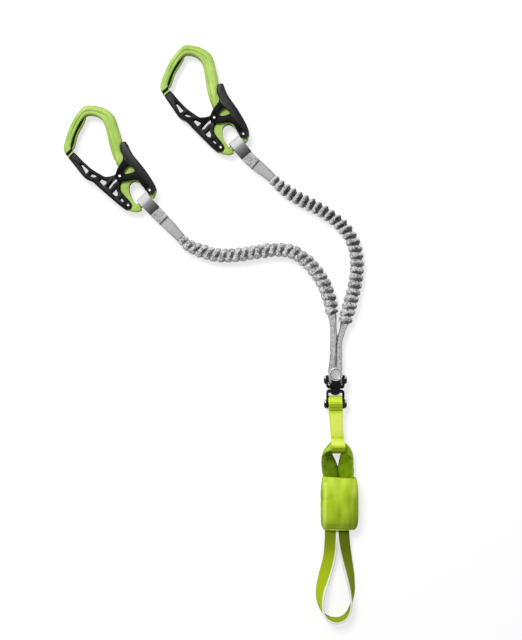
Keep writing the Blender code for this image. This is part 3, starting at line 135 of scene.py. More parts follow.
def reaches(places):  # how far along the line each place lies
    reach = [0.0]
    for a, b in zip(places, places[1:]):
        reach.append(reach[-1] + (b - a).length)
    return reach


def smoothRoute(points, step):  # even steps on a smooth open curve through the points
    points = [Vector(point) for point in points]
    ghosts = [2 * points[0] - points[1]] + points + [2 * points[-1] - points[-2]]
    fine = []
    for a, b, c, d in zip(ghosts, ghosts[1:], ghosts[2:], ghosts[3:]):
        for k in range(12):
            t = k / 12
            fine.append(0.5 * (2 * b + (c - a) * t + (2 * a - 5 * b + 4 * c - d) * t * t
                               + (3 * b - a - 3 * c + d) * t ** 3))
    fine.append(points[-1])
    reach = reaches(fine)
    count = max(2, round(reach[-1] / step))
    even, k = [], 0
    for n in range(count + 1):
        goal = reach[-1] * n / count
        while k < len(fine) - 2 and reach[k + 1] < goal:
            k += 1
        share = (goal - reach[k]) / max(reach[k + 1] - reach[k], 1e-9)
        even.append(fine[k].lerp(fine[k + 1], min(share, 1.0)))
    return even


def routeLength(points):
    return sum((b - a).length for a, b in zip(points, points[1:]))


def headings(points):
    last = len(points) - 1
    return [(points[min(k + 1, last)] - points[max(k - 1, 0)]).normalized() for k in range(last + 1)]


def blendAt(table, share):  # a value read between the rows (share, value) of a short table
    for (a, low), (b, high) in zip(table, table[1:]):
        if share <= b:
            t = min(max((share - a) / max(b - a, 1e-9), 0.0), 1.0)
            t = t * t * (3 - 2 * t)
            return low + (high - low) * t
    return table[-1][1]


def stationsOn(points, across, wide=None, thick=None):  # place, across, up, width and thickness shares
    ways = headings(points)
    last = len(points) - 1
    stations = []
    for k, (place, way) in enumerate(zip(points, ways)):
        side = across(k / last, way, place)
        side = (side - way * side.dot(way)).normalized()
        stations.append((place, side, way.cross(side), blendAt(wide, k / last) if wide else 1.0,
                         blendAt(thick, k / last) if thick else 1.0))
    return stations


def layAlong(piece, stations, length):  # bends a flat piece, x along and y across, on to the stations
    reach = reaches([station[0] for station in stations])
    for vertex in piece.data.vertices:
        x, y, z = vertex.co
        goal = min(max(x / length, 0.0), 1.0) * reach[-1]
        low, high = 0, len(reach) - 2
        while low < high:
            k = (low + high + 1) // 2
            if reach[k] <= goal:
                low = k
            else:
                high = k - 1
        t = (goal - reach[low]) / max(reach[low + 1] - reach[low], 1e-9)
        a, b = stations[low], stations[low + 1]
        side = a[1].lerp(b[1], t).normalized()
        up = a[2].lerp(b[2], t).normalized()
        wide = a[3] + (b[3] - a[3]) * t
        thick = a[4] + (b[4] - a[4]) * t
        vertex.co = a[0].lerp(b[0], t) + side * y * wide + up * z * thick
    piece.data.update()
    return piece


def threadMap(piece):  # the piece's own UV map, in metres, from its flat shape
    if "threads" not in piece.data.uv_layers:
        piece.data.uv_layers.new(name="threads")
    layer = piece.data.uv_layers["threads"]
    piece.data.uv_layers.active = layer
    for loop in piece.data.loops:
        spot = piece.data.vertices[loop.vertex_index].co
        layer.data[loop.index].uv = (spot.x, spot.y + spot.z)
    return piece


def flatBand(name, length, width, thickness, along, across=6, edge=0.3 * mm):
    deselectAll()
    bpy.ops.mesh.primitive_grid_add(x_subdivisions=along, y_subdivisions=across, size=1.0, location=(0, 0, 0))
    band = named(name)
    editing(band)
    bpy.ops.transform.translate(value=(0.5, 0, 0))
    bpy.ops.transform.resize(value=(length, width, 1.0), center_override=(0, 0, 0))
    editingDone()
    for old in list(band.data.uv_layers):
        band.data.uv_layers.remove(old)
    applyModifier(band, "SOLIDIFY", thickness=thickness, offset=0.0)
    applyModifier(band, "BEVEL", width=edge, segments=2, limit_method="ANGLE", angle_limit=math.radians(50))
    return threadMap(band)


def pointValues(piece, *names):  # new attributes with one number for each vertex
    for name in names:
        piece.data.attributes.new(name, "FLOAT", "POINT")
    return [piece.data.attributes[name].data for name in names]


def shadeFolds(piece, darkness, name="fold"):  # an attribute for the finish, from the flat shape
    [values] = pointValues(piece, name)
    for vertex in piece.data.vertices:
        values[vertex.index].value = min(1.0, max(0.0, darkness(vertex.co.x, vertex.co.y)))


def crumpled(piece, size, amount, seed):  # soft unevenness along the surface normals
    shift = Vector((seed, seed * 0.37, seed * 1.7))
    normals = [vertex.normal.copy() for vertex in piece.data.vertices]
    for vertex, normal in zip(piece.data.vertices, normals):
        vertex.co += normal * (noise.noise(vertex.co / size + shift) * amount)
    piece.data.update()
    return piece


def refinedCopy(nodeName, name, edge=0.25 * mm, segments=2, minAngle=30, dissolve=1.0):
    piece = bpy.data.objects.new(name, nodes[nodeName].data.copy())
    bpy.context.scene.collection.objects.link(piece)
    piece.data.materials.clear()
    editing(piece)
    bpy.ops.mesh.remove_doubles(threshold=0.00001)
    bpy.ops.mesh.customdata_custom_splitnormals_clear()
    if dissolve:
        bpy.ops.mesh.dissolve_limited(angle_limit=math.radians(dissolve))
    editingDone()
    if edge:
        applyModifier(piece, "BEVEL", width=edge, segments=segments, limit_method="ANGLE",
                      angle_limit=math.radians(minAngle), use_clamp_overlap=True, harden_normals=False)
    return piece


# studio: camera, lamps, floor

studio = {"cameraPlace": (49.8 * mm, 14.6 * mm, 1107.5 * mm), "lens": 61.875, "worldLevel": 0.4,
          "keyPlace": (-0.42, 0.8, 1.25), "keyPower": 20.0, "keySize": 0.6, "floorColour": 0.86,
          "floorSeenColour": 0.36, "floorLift": 0.68, "floorSize": 8.0, "floorHeight": -0.0004,
          "sensor": 36.0, "clip": (0.01, 50.0)}


def makeStudio():
    scene = bpy.context.scene
    scene.view_settings.view_transform = "Standard"
    deselectAll()
    bpy.ops.object.camera_add(location=studio["cameraPlace"], rotation=(0, 0, 0))
    camera = bpy.context.object
    camera.name = "photoCamera"
    camera.data.lens = studio["lens"]
    camera.data.sensor_width = studio["sensor"]
    camera.data.sensor_fit = "AUTO"
    camera.data.clip_start, camera.data.clip_end = studio["clip"]
    scene.camera = camera
    place = Vector(studio["keyPlace"])
    bpy.ops.object.light_add(type="AREA", location=place)
    key = bpy.context.object
    key.name = "keyLamp"
    key.rotation_euler = (-place).to_track_quat("-Z", "Y").to_euler()
    key.data.energy = studio["keyPower"]
    key.data.size = studio["keySize"]
    world = scene.world or bpy.data.worlds.new("paleStudio")
    scene.world = world
    world.use_nodes = True
    tree = world.node_tree
    tree.nodes.clear()
    output = tree.nodes.new("ShaderNodeOutputWorld")
    mixed = tree.nodes.new("ShaderNodeMixShader")
    rays = tree.nodes.new("ShaderNodeLightPath")
    tree.links.new(rays.outputs["Is Camera Ray"], mixed.inputs["Fac"])
    for k, level in ((1, studio["worldLevel"]), (2, 1.0)):  # what lights the pieces, and what is seen
        glow = tree.nodes.new("ShaderNodeBackground")
        glow.inputs["Color"].default_value = (1, 1, 1, 1)
        glow.inputs["Strength"].default_value = level
        tree.links.new(glow.outputs["Background"], mixed.inputs[k])
    tree.links.new(mixed.outputs["Shader"], output.inputs["Surface"])
    deselectAll()
    bpy.ops.mesh.primitive_plane_add(size=studio["floorSize"], location=(0, 0, studio["floorHeight"]))
    floor = named("studioFloor")
    surface = bpy.data.materials.new("paleFloor")
    surface.use_nodes = True
    tree = surface.node_tree
    shader = tree.nodes["Principled BSDF"]
    shader.inputs["Roughness"].default_value = 0.9
    shader.inputs["Emission Color"].default_value = (1, 1, 1, 1)
    rays = tree.nodes.new("ShaderNodeLightPath")
    lift = tree.nodes.new("ShaderNodeMath")
    lift.operation = "MULTIPLY"
    lift.inputs[1].default_value = studio["floorLift"]
    tree.links.new(rays.outputs["Is Camera Ray"], lift.inputs[0])
    tone = tree.nodes.new("ShaderNodeMix")  # pale to the lamp's light, and lifted to white where it is seen
    tone.data_type = "RGBA"
    tree.links.new(rays.outputs["Is Camera Ray"], tone.inputs[0])
    for k, level in ((6, studio["floorColour"]), (7, studio["floorSeenColour"])):
        tone.inputs[k].default_value = (level, level, level, 1)
    tree.links.new(tone.outputs[2], shader.inputs["Base Color"])
    tree.links.new(lift.outputs[0], shader.inputs["Emission Strength"])
    floor.data.materials.append(surface)


makeStudio()
print("studio ready")


# shared effects as node groups

def newGroup(name, inputs, outputs):
    group = bpy.data.node_groups.new(name, "ShaderNodeTree")
    for socketName, kind, value in inputs:
        made = group.interface.new_socket(name=socketName, in_out="INPUT", socket_type="NodeSocket" + kind)
        if value is not None:
            made.default_value = value
    for socketName, kind in outputs:
        group.interface.new_socket(name=socketName, in_out="OUTPUT", socket_type="NodeSocket" + kind)
    return group, group.nodes.new("NodeGroupInput"), group.nodes.new("NodeGroupOutput")


def feed(tree, socket, value):  # a number, a colour, another node's output or nothing
    if isinstance(value, (int, float)):
        socket.default_value = value
    elif isinstance(value, tuple):
        socket.default_value = (*value, 1.0)
    elif value is not None:
        tree.links.new(value, socket)


def addMath(tree, operation, first, second=None, clamp=False):
    node = tree.nodes.new("ShaderNodeMath")
    node.operation = operation
    node.use_clamp = clamp
    feed(tree, node.inputs[0], first)
    feed(tree, node.inputs[1], second)
    return node.outputs[0]


def times(tree, first, second, clamp=False):
    return addMath(tree, "MULTIPLY", first, second, clamp)


def plus(tree, first, second, clamp=False):
    return addMath(tree, "ADD", first, second, clamp)


def addRange(tree, value, low, high, toLow=0.0, toHigh=1.0):
    node = tree.nodes.new("ShaderNodeMapRange")
    node.clamp = True
    for k, given in enumerate((value, low, high, toLow, toHigh)):
        feed(tree, node.inputs[k], given)
    return node.outputs["Result"]


def addNoise(tree, vector, scale, detail=3.0, rough=0.55):
    node = tree.nodes.new("ShaderNodeTexNoise")
    tree.links.new(vector, node.inputs["Vector"])
    node.inputs["Detail"].default_value = detail
    node.inputs["Roughness"].default_value = rough
    feed(tree, node.inputs["Scale"], scale)
    return node.outputs["Fac"]


def addMix(tree, factor, first, second):
    node = tree.nodes.new("ShaderNodeMix")
    node.data_type = "RGBA"
    for socket, value in ((node.inputs[0], factor), (node.inputs[6], first), (node.inputs[7], second)):
        feed(tree, socket, value)
    return node.outputs[2]


def makeWovenGroup():  # warp ribs along u and short floats across, both in metres
    group, given, put = newGroup("wovenThreads", [("Map", "Vector", None), ("Pitch", "Float", 0.0009),
                                                  ("Float Length", "Float", 0.0022)],
                                 [("Height", "Float"), ("Shade", "Float")])
    parts = group.nodes.new("ShaderNodeSeparateXYZ")
    group.links.new(given.outputs["Map"], parts.inputs[0])
    row = addMath(group, "DIVIDE", parts.outputs["Y"], given.outputs["Pitch"])
    along = addMath(group, "DIVIDE", parts.outputs["X"], given.outputs["Float Length"])
    offset = times(group, addMath(group, "FLOOR", row), 0.5)
    ribs = addMath(group, "ABSOLUTE", addMath(group, "SINE", times(group, row, math.pi)))
    floats = times(group, plus(group, along, offset), math.pi)
    floats = addMath(group, "ABSOLUTE", addMath(group, "SINE", floats))
    height = times(group, ribs, addRange(group, floats, 0.0, 0.8, 0.35, 1.0))
    group.links.new(height, put.inputs["Height"])
    group.links.new(addRange(group, height, 0.0, 0.7, 0.0, 1.0), put.inputs["Shade"])
    return group


def makeWearGroup():  # edges that rub, found from a rounded normal and broken up by noise
    group, given, put = newGroup("rubbedEdges", [("Map", "Vector", None), ("Reach", "Float", 0.0006),
                                                 ("Breakup", "Float", 700.0)], [("Mask", "Float")])
    rounded = group.nodes.new("ShaderNodeBevel")
    rounded.samples = 4
    group.links.new(given.outputs["Reach"], rounded.inputs["Radius"])
    surface = group.nodes.new("ShaderNodeNewGeometry")
    dot = group.nodes.new("ShaderNodeVectorMath")
    dot.operation = "DOT_PRODUCT"
    group.links.new(rounded.outputs["Normal"], dot.inputs[0])
    group.links.new(surface.outputs["Normal"], dot.inputs[1])
    edge = addRange(group, dot.outputs["Value"], 0.985, 0.88, 0.0, 1.0)
    broken = addRange(group, addNoise(group, given.outputs["Map"], given.outputs["Breakup"], 4.0), 0.42, 0.62)
    group.links.new(times(group, edge, broken), put.inputs["Mask"])
    return group


def makeCloudGroup():  # slow variation over a surface
    group, given, put = newGroup("slowVariation", [("Map", "Vector", None), ("Scale", "Float", 60.0),
                                                   ("Low", "Float", 0.35), ("High", "Float", 0.65)],
                                 [("Value", "Float")])
    value = addRange(group, addNoise(group, given.outputs["Map"], given.outputs["Scale"], 3.0),
                     given.outputs["Low"], given.outputs["High"])
    group.links.new(value, put.inputs["Value"])
    return group


def makeGrainGroup():  # fine grain for blasted metal, moulded plastic and fibres
    group, given, put = newGroup("fineGrain", [("Map", "Vector", None), ("Scale", "Float", 2500.0)],
                                 [("Height", "Float"), ("Speck", "Float")])
    value = addNoise(group, given.outputs["Map"], given.outputs["Scale"], 2.0, 0.6)
    group.links.new(value, put.inputs["Height"])
    group.links.new(addRange(group, value, 0.52, 0.62), put.inputs["Speck"])
    return group


wovenGroup = makeWovenGroup()
wearGroup = makeWearGroup()
cloudGroup = makeCloudGroup()
grainGroup = makeGrainGroup()


def startMaterial(name, roughness, metallic=0.0, sheen=0.0, coat=0.0, specular=0.5):
    surface = bpy.data.materials.new(name)
    surface.use_nodes = True
    tree = surface.node_tree
    shader = tree.nodes["Principled BSDF"]
    shader.inputs["Roughness"].default_value = roughness
    shader.inputs["Metallic"].default_value = metallic
    shader.inputs["Sheen Weight"].default_value = sheen
    shader.inputs["Sheen Roughness"].default_value = 0.5
    shader.inputs["Coat Weight"].default_value = coat
    shader.inputs["Coat Roughness"].default_value = 0.25
    shader.inputs["Specular IOR Level"].default_value = specular
    return surface, tree, shader


def objectMap(tree):
    return tree.nodes.new("ShaderNodeTexCoord").outputs["Object"]


def threadUv(tree):
    node = tree.nodes.new("ShaderNodeUVMap")
    node.uv_map = "threads"
    return node.outputs["UV"]


def placed(tree, group, vector, **values):
    node = tree.nodes.new("ShaderNodeGroup")
    node.node_tree = group
    tree.links.new(vector, node.inputs["Map"])
    for name, value in values.items():
        node.inputs[name.replace("_", " ")].default_value = value
    return node


def attachBump(tree, shader, height, distance, strength=0.6):
    bump = tree.nodes.new("ShaderNodeBump")
    bump.inputs["Strength"].default_value = strength
    bump.inputs["Distance"].default_value = distance
    tree.links.new(height, bump.inputs["Height"])
    tree.links.new(bump.outputs["Normal"], shader.inputs["Normal"])
    return bump


def attributeValue(tree, name):
    node = tree.nodes.new("ShaderNodeAttribute")
    node.attribute_name = name
    return node.outputs["Fac"]


def wovenTone(tree, woven, cloud, fibres, shares):  # weave, slow variation and fibres as one shade
    sockets = (woven.outputs["Shade"], cloud.outputs["Value"], fibres.outputs["Height"])
    weave, slow, fine = (times(tree, socket, share) for socket, share in zip(sockets, shares))
    return plus(tree, weave, plus(tree, slow, fine), clamp=True)


def metalFinish(name, colour, dark, roughness, metallic, worn=None, grain=2600.0, coat=0.0, specular=0.5,
                pillow=0.0, shade=None):
    surface, tree, shader = startMaterial(name, roughness, metallic, coat=coat, specular=specular)
    where = objectMap(tree)
    cloud = placed(tree, cloudGroup, where, Scale=55.0, Low=0.3, High=0.7)
    base = addMix(tree, cloud.outputs["Value"], colour, dark)
    if worn:
        rubbed = placed(tree, wearGroup, where, Reach=0.0005, Breakup=900.0)
        base = addMix(tree, times(tree, rubbed.outputs["Mask"], worn[1]), base, worn[0])
    if shade:  # painted shade: the piece's own fold attribute makes it darker and duller
        base = addMix(tree, attributeValue(tree, "fold"), base, shade)
        tree.links.new(addRange(tree, attributeValue(tree, "fold"), 0.0, 1.0, specular, 0.015),
                       shader.inputs["Specular IOR Level"])
    tree.links.new(base, shader.inputs["Base Color"])
    fine = placed(tree, grainGroup, where, Scale=grain)
    tree.links.new(addRange(tree, fine.outputs["Height"], 0.3, 0.7, roughness - 0.06, roughness + 0.08),
                   shader.inputs["Roughness"])
    bump = attachBump(tree, shader, fine.outputs["Height"], 0.00006, 0.25)
    if pillow:  # moulded parts catch the light as if their faces were slightly domed
        domed = tree.nodes.new("ShaderNodeBevel")
        domed.samples = 6
        domed.inputs["Radius"].default_value = pillow
        tree.links.new(domed.outputs["Normal"], bump.inputs["Normal"])
    return surface


def webbingFinish(name, light, dark, pitch=0.0009, floats=0.0024, sheen=0.25, depth=0.00022, extra=None,
                  roughness=0.82, speck=None, speckBy=None, specular=0.25):
    surface, tree, shader = startMaterial(name, roughness, 0.0, sheen=sheen, specular=specular)
    where = threadUv(tree)
    woven = placed(tree, wovenGroup, where, Pitch=pitch, Float_Length=floats)
    cloud = placed(tree, cloudGroup, objectMap(tree), Scale=85.0, Low=0.3, High=0.7)
    fibres = placed(tree, grainGroup, objectMap(tree), Scale=3200.0)
    tone = wovenTone(tree, woven, cloud, fibres, (0.55, 0.25, 0.3))
    base = addMix(tree, tone, dark, light)
    if speck:  # heathered threads: pale and dark specks
        for scale, colour, amount in speck:
            heather = placed(tree, grainGroup, objectMap(tree), Scale=scale)
            share = times(tree, heather.outputs["Speck"], amount)
            if speckBy:  # only where the piece's own attribute says so
                share = times(tree, share, attributeValue(tree, speckBy))
            base = addMix(tree, share, base, colour)
    if extra:
        base = extra(tree, base, where)
    tree.links.new(base, shader.inputs["Base Color"])
    height = plus(tree, woven.outputs["Height"], times(tree, fibres.outputs["Height"], 0.35))
    attachBump(tree, shader, height, depth, 0.7)
    return surface


greenAnodised = metalFinish("greenAnodised", (0.38, 0.52, 0.115), (0.24, 0.41, 0.05), 0.5, 0.1,
                            worn=((0.55, 0.70, 0.30), 0.55), specular=0.3)
# painted shade: a darker copy of the green anodising for the lip, which sits low in the arch, with painted
# shadow from its fold attribute
shadedLipGreen = metalFinish("shadedLipGreen", (0.27, 0.37, 0.09), (0.20, 0.29, 0.05), 0.5, 0.1, specular=0.2,
                       shade=(0.022, 0.045, 0.002))
shadedGreen = metalFinish("shadedGreen", (0.030, 0.055, 0.006), (0.016, 0.030, 0.003), 0.5, 0.1,
                          specular=0.15)
blackCoatAndNoseShadow = metalFinish("blackCoatAndNoseShadow", (0.006, 0.006, 0.007), (0.003, 0.003, 0.004), 0.42, 0.0,
                          worn=((0.09, 0.09, 0.095), 0.35), grain=2200.0, specular=0.12)
blackAnodised = metalFinish("blackAnodised", (0.010, 0.010, 0.011), (0.005, 0.005, 0.006), 0.38, 0.0,
                            worn=((0.10, 0.10, 0.105), 0.35), specular=0.2, pillow=0.0014,
                            shade=(0.0008, 0.0008, 0.0009))
# painted shade: a darker, duller copy of the lever's black for its struts
shadedStrutBlack = metalFinish("shadedStrutBlack", (0.0028, 0.0028, 0.003), (0.0014, 0.0014, 0.0016), 0.5, 0.0,
                         worn=((0.07, 0.07, 0.075), 0.35), specular=0.07, pillow=0.001)
blackenedSteelAndRimShade = metalFinish("blackenedSteelAndRimShade", (0.05, 0.05, 0.055), (0.02, 0.02, 0.023), 0.3, 0.7,
                             worn=((0.5, 0.5, 0.51), 0.6))
springSteel = metalFinish("springSteel", (0.42, 0.42, 0.43), (0.3, 0.3, 0.31), 0.34, 0.9)
capSteel = metalFinish("capSteel", (0.76, 0.76, 0.77), (0.64, 0.64, 0.65), 0.3, 0.55, grain=1800.0)
brightSteelAndGlint = metalFinish("brightSteelAndGlint", (0.80, 0.80, 0.81), (0.66, 0.66, 0.67), 0.26, 0.8,
                          worn=((0.92, 0.92, 0.92), 0.4), grain=1800.0)


def darkened(colour, strength=1.0, breakup=True):  # painted shade: the piece's own "fold" attribute darkens its hollows
    def extra(tree, base, where):
        fold = attributeValue(tree, "fold")
        if breakup:
            mottle = placed(tree, grainGroup, objectMap(tree), Scale=750.0)
            broken = addRange(tree, mottle.outputs["Height"], 0.35, 0.62, 1.15, 0.72)
            fold = times(tree, fold, broken, clamp=True)
        return addMix(tree, times(tree, fold, strength), base, colour)
    return extra


def sleeveShade(tree, base, where):  # painted shade: the sleeve is pale over the bar and dark at its open end
    fade = addRange(tree, attributeValue(tree, "fade"), 0.06, 1.0)
    return addMix(tree, addMath(tree, "POWER", fade, 0.36), base, (0.006, 0.0065, 0.007))


def pocketShade(tree, base, where):  # painted shade: each gather is pale first and sinks into a dark, ragged pocket
    count, half, dark = (attributeValue(tree, name) for name in ("ribCount", "pocketHalf", "pocketDark"))
    ragged = addNoise(tree, objectMap(tree), 520.0, 3.0, 0.65)
    part = addMath(tree, "FRACT", plus(tree, count, addRange(tree, ragged, 0.3, 0.7, -0.07, 0.07)))
    reach = addMath(tree, "SUBTRACT", plus(tree, part, times(tree, half, 2.0)), 1.0)
    reach = plus(tree, reach, addRange(tree, ragged, 0.35, 0.65, -0.12, 0.12))
    deep = addRange(tree, reach, -0.05, 0.27)
    lit = placed(tree, grainGroup, objectMap(tree), Scale=800.0)
    deep = times(tree, deep, addRange(tree, lit.outputs["Speck"], 0.0, 1.0, 1.0, 0.72))
    return addMix(tree, times(tree, deep, dark, clamp=True), base, (0.008, 0.008, 0.009))


def whiteEdge(tree, base, where):  # the marker threads along one edge
    # painted shade from the fold attribute, darker where the loop turns away from the light
    base = darkened((0.060, 0.078, 0.004), 1.0, False)(tree, base, where)
    parts = tree.nodes.new("ShaderNodeSeparateXYZ")
    tree.links.new(where, parts.inputs[0])
    edge = plus(tree, parts.outputs["Y"], times(tree, attributeValue(tree, "patch"), 0.0016))
    return addMix(tree, addRange(tree, edge, 0.0056, 0.0059), base, (0.88, 0.90, 0.82))


def strapHighlightAndShade(tree, base, where):
    # painted highlight from the patch attribute on the shoulders and edges, then painted shade from the fold
    # attribute
    base = addMix(tree, attributeValue(tree, "patch"), base, (0.52, 0.79, 0.06))
    return darkened((0.020, 0.042, 0.001))(tree, base, where)


def slingMarksAndShade(tree, base, where):
    base = addMix(tree, times(tree, attributeValue(tree, "patch"), 0.8), base, (0.80, 0.88, 0.15))
    base = addMix(tree, attributeValue(tree, "streak"), base, (0.80, 0.86, 0.21))
    # painted shade from the fold attribute, in the ridges' grooves and where the strap turns down at its end
    return darkened((0.20, 0.285, 0.002), 1.0, False)(tree, base, where)


heather = [(1000.0, (0.76, 0.76, 0.76), 0.6), (700.0, (0.06, 0.06, 0.065), 0.7)]
greyWebbing = webbingFinish("greyWebbing", (0.475, 0.475, 0.475), (0.28, 0.28, 0.285), speck=heather,
                            speckBy="heather", extra=darkened((0.03, 0.03, 0.032)))
strandWebbing = webbingFinish("strandWebbing", (0.61, 0.61, 0.61), (0.39, 0.39, 0.395), speck=heather,
                              speckBy="heather", extra=darkened((0.03, 0.03, 0.032)))
gatheredSleeve = webbingFinish("gatheredSleeve", (0.68, 0.68, 0.685), (0.42, 0.42, 0.425), pitch=0.0008,
                               floats=0.0018, extra=pocketShade, depth=0.00025,
                               speck=[(700.0, (0.90, 0.90, 0.90), 0.65), (480.0, (0.05, 0.05, 0.055), 0.8),
                                      (330.0, (0.09, 0.09, 0.095), 0.6)], speckBy="heather")
sleeveWebbing = webbingFinish("sleeveWebbing", (0.66, 0.67, 0.67), (0.46, 0.47, 0.47), pitch=0.0006,
                              floats=0.0012, extra=sleeveShade, depth=0.0001, roughness=0.6)
brightWebbing = webbingFinish("brightWebbing", (0.68, 0.88, 0.06), (0.54, 0.74, 0.03), pitch=0.0008,
                              sheen=0.05, extra=slingMarksAndShade, specular=0.08)
darkGreenWebbing = webbingFinish("darkGreenWebbing", (0.28, 0.47, 0.004), (0.16, 0.30, 0.002), sheen=0.03,
                                 extra=strapHighlightAndShade, specular=0.08)
tieInWebbing = webbingFinish("tieInWebbing", (0.47, 0.60, 0.010), (0.35, 0.46, 0.004), sheen=0.04,
                             extra=whiteEdge, specular=0.1)
paleThread = webbingFinish("paleThread", (0.70, 0.70, 0.70), (0.45, 0.45, 0.45), pitch=0.0003, floats=0.0006,
                           depth=0.00005)
greenThread = webbingFinish("greenThread", (0.62, 0.80, 0.05), (0.45, 0.62, 0.03), pitch=0.0003,
                            floats=0.0006, depth=0.00005)
print("materials ready")


# Elastic arms: one gathered rib is modelled, repeated and laid along the route

elasticArm = {"height": 6.8 * mm, "peak": 6.7 * mm, "valley": 3.9 * mm, "sides": 44, "stepsPerRib": 14,
              "firstRibs": (0.8, 0.9, 0.97), "lastRibs": (0.9, 0.98), "pitch": 7.1 * mm, "rimDepth": 1.6 * mm,
              "pocketDepth": 1.7 * mm, "rimSlit": 0.08, "across": 13.4 * mm, "endInset": 1.6 * mm,
              "groundGap": 0.15 * mm}
armFolds = {  # along the arm: the gathers' lean, and the dark pocket's painted shade: its place across, reach and half width
    "left": {"lean": [(0.0, 0.1), (0.1, 0.26), (1.0, 0.24)],
             "middle": [(0.0, 0.0), (0.55, -0.05), (0.75, 0.3), (1.0, 0.5)],
             "reach": [(0.0, 0.6), (0.55, 0.55), (0.75, 0.6), (1.0, 0.65)],
             "half": [(0.0, 0.3), (1.0, 0.33)], "dark": [(0.0, 0.75), (0.6, 0.8), (0.8, 0.75), (1.0, 0.9)],
             "wide": [(0.0, 1.0), (0.15, 1.08), (0.9, 1.08), (1.0, 1.12)], "mottle": [(0.0, 1.0), (1.0, 1.0)],
             "seed": 3.0},
    "right": {"lean": [(0.0, -0.02), (0.25, 0.05), (0.5, 0.2), (0.7, 0.05), (1.0, -0.2)],
              "middle": [(0.0, 0.15), (0.5, 0.15), (0.7, 0.2), (1.0, 0.35)],
              "reach": [(0.0, 0.95), (0.1, 1.12), (0.45, 1.12), (0.7, 0.8), (1.0, 0.65)],
              "half": [(0.0, 0.32), (0.12, 0.37), (0.45, 0.37), (0.7, 0.33), (1.0, 0.32)],
              "dark": [(0.0, 0.9), (0.12, 1.0), (0.42, 1.0), (0.6, 0.9), (1.0, 0.85)],
              "wide": [(0.0, 1.03), (0.7, 1.05), (0.95, 1.14), (1.0, 1.16)],
              "mottle": [(0.0, 0.45), (0.4, 0.45), (0.6, 0.9), (1.0, 1.0)], "seed": 11.0},
}
leftArmRoute = [
    (-30.2, 96.6), (-25.6, 91.9), (-19.7, 87.8), (-11.5, 84.6), (-1.9, 81.2), (8.6, 79.4), (18.2, 79.2),
    (27.8, 79.9), (37.3, 81.4), (46.9, 82.8), (56.5, 84.2), (66.2, 84.8), (78.3, 83.8), (88.1, 79.0),
    (96.7, 72.4), (103.2, 65.2), (108.9, 57.2), (113.3, 49.2), (116.1, 42.0), (118.3, 35.2), (119.9, 27.6),
    (120.7, 20.4),
]
rightArmRoute = [
    (61.0, 156.6), (65.8, 151.9), (70.7, 147.4), (78.5, 141.8), (89.2, 135.3), (102.2, 128.8), (115.2, 121.2),
    (126.0, 113.2), (135.8, 103.2), (142.5, 90.9), (145.3, 77.9), (145.8, 67.0), (144.7, 55.1), (142.3, 43.6),
    (139.5, 33.0), (136.9, 23.6), (133.5, 11.4),
]


def armPoints(route, step):
    return smoothRoute([(x * mm, y * mm, elasticArm["height"]) for x, y in route], step)


def ribSwell(share):  # round gathers with a sharp crease between them
    return abs(math.sin(math.pi * share)) ** 0.62


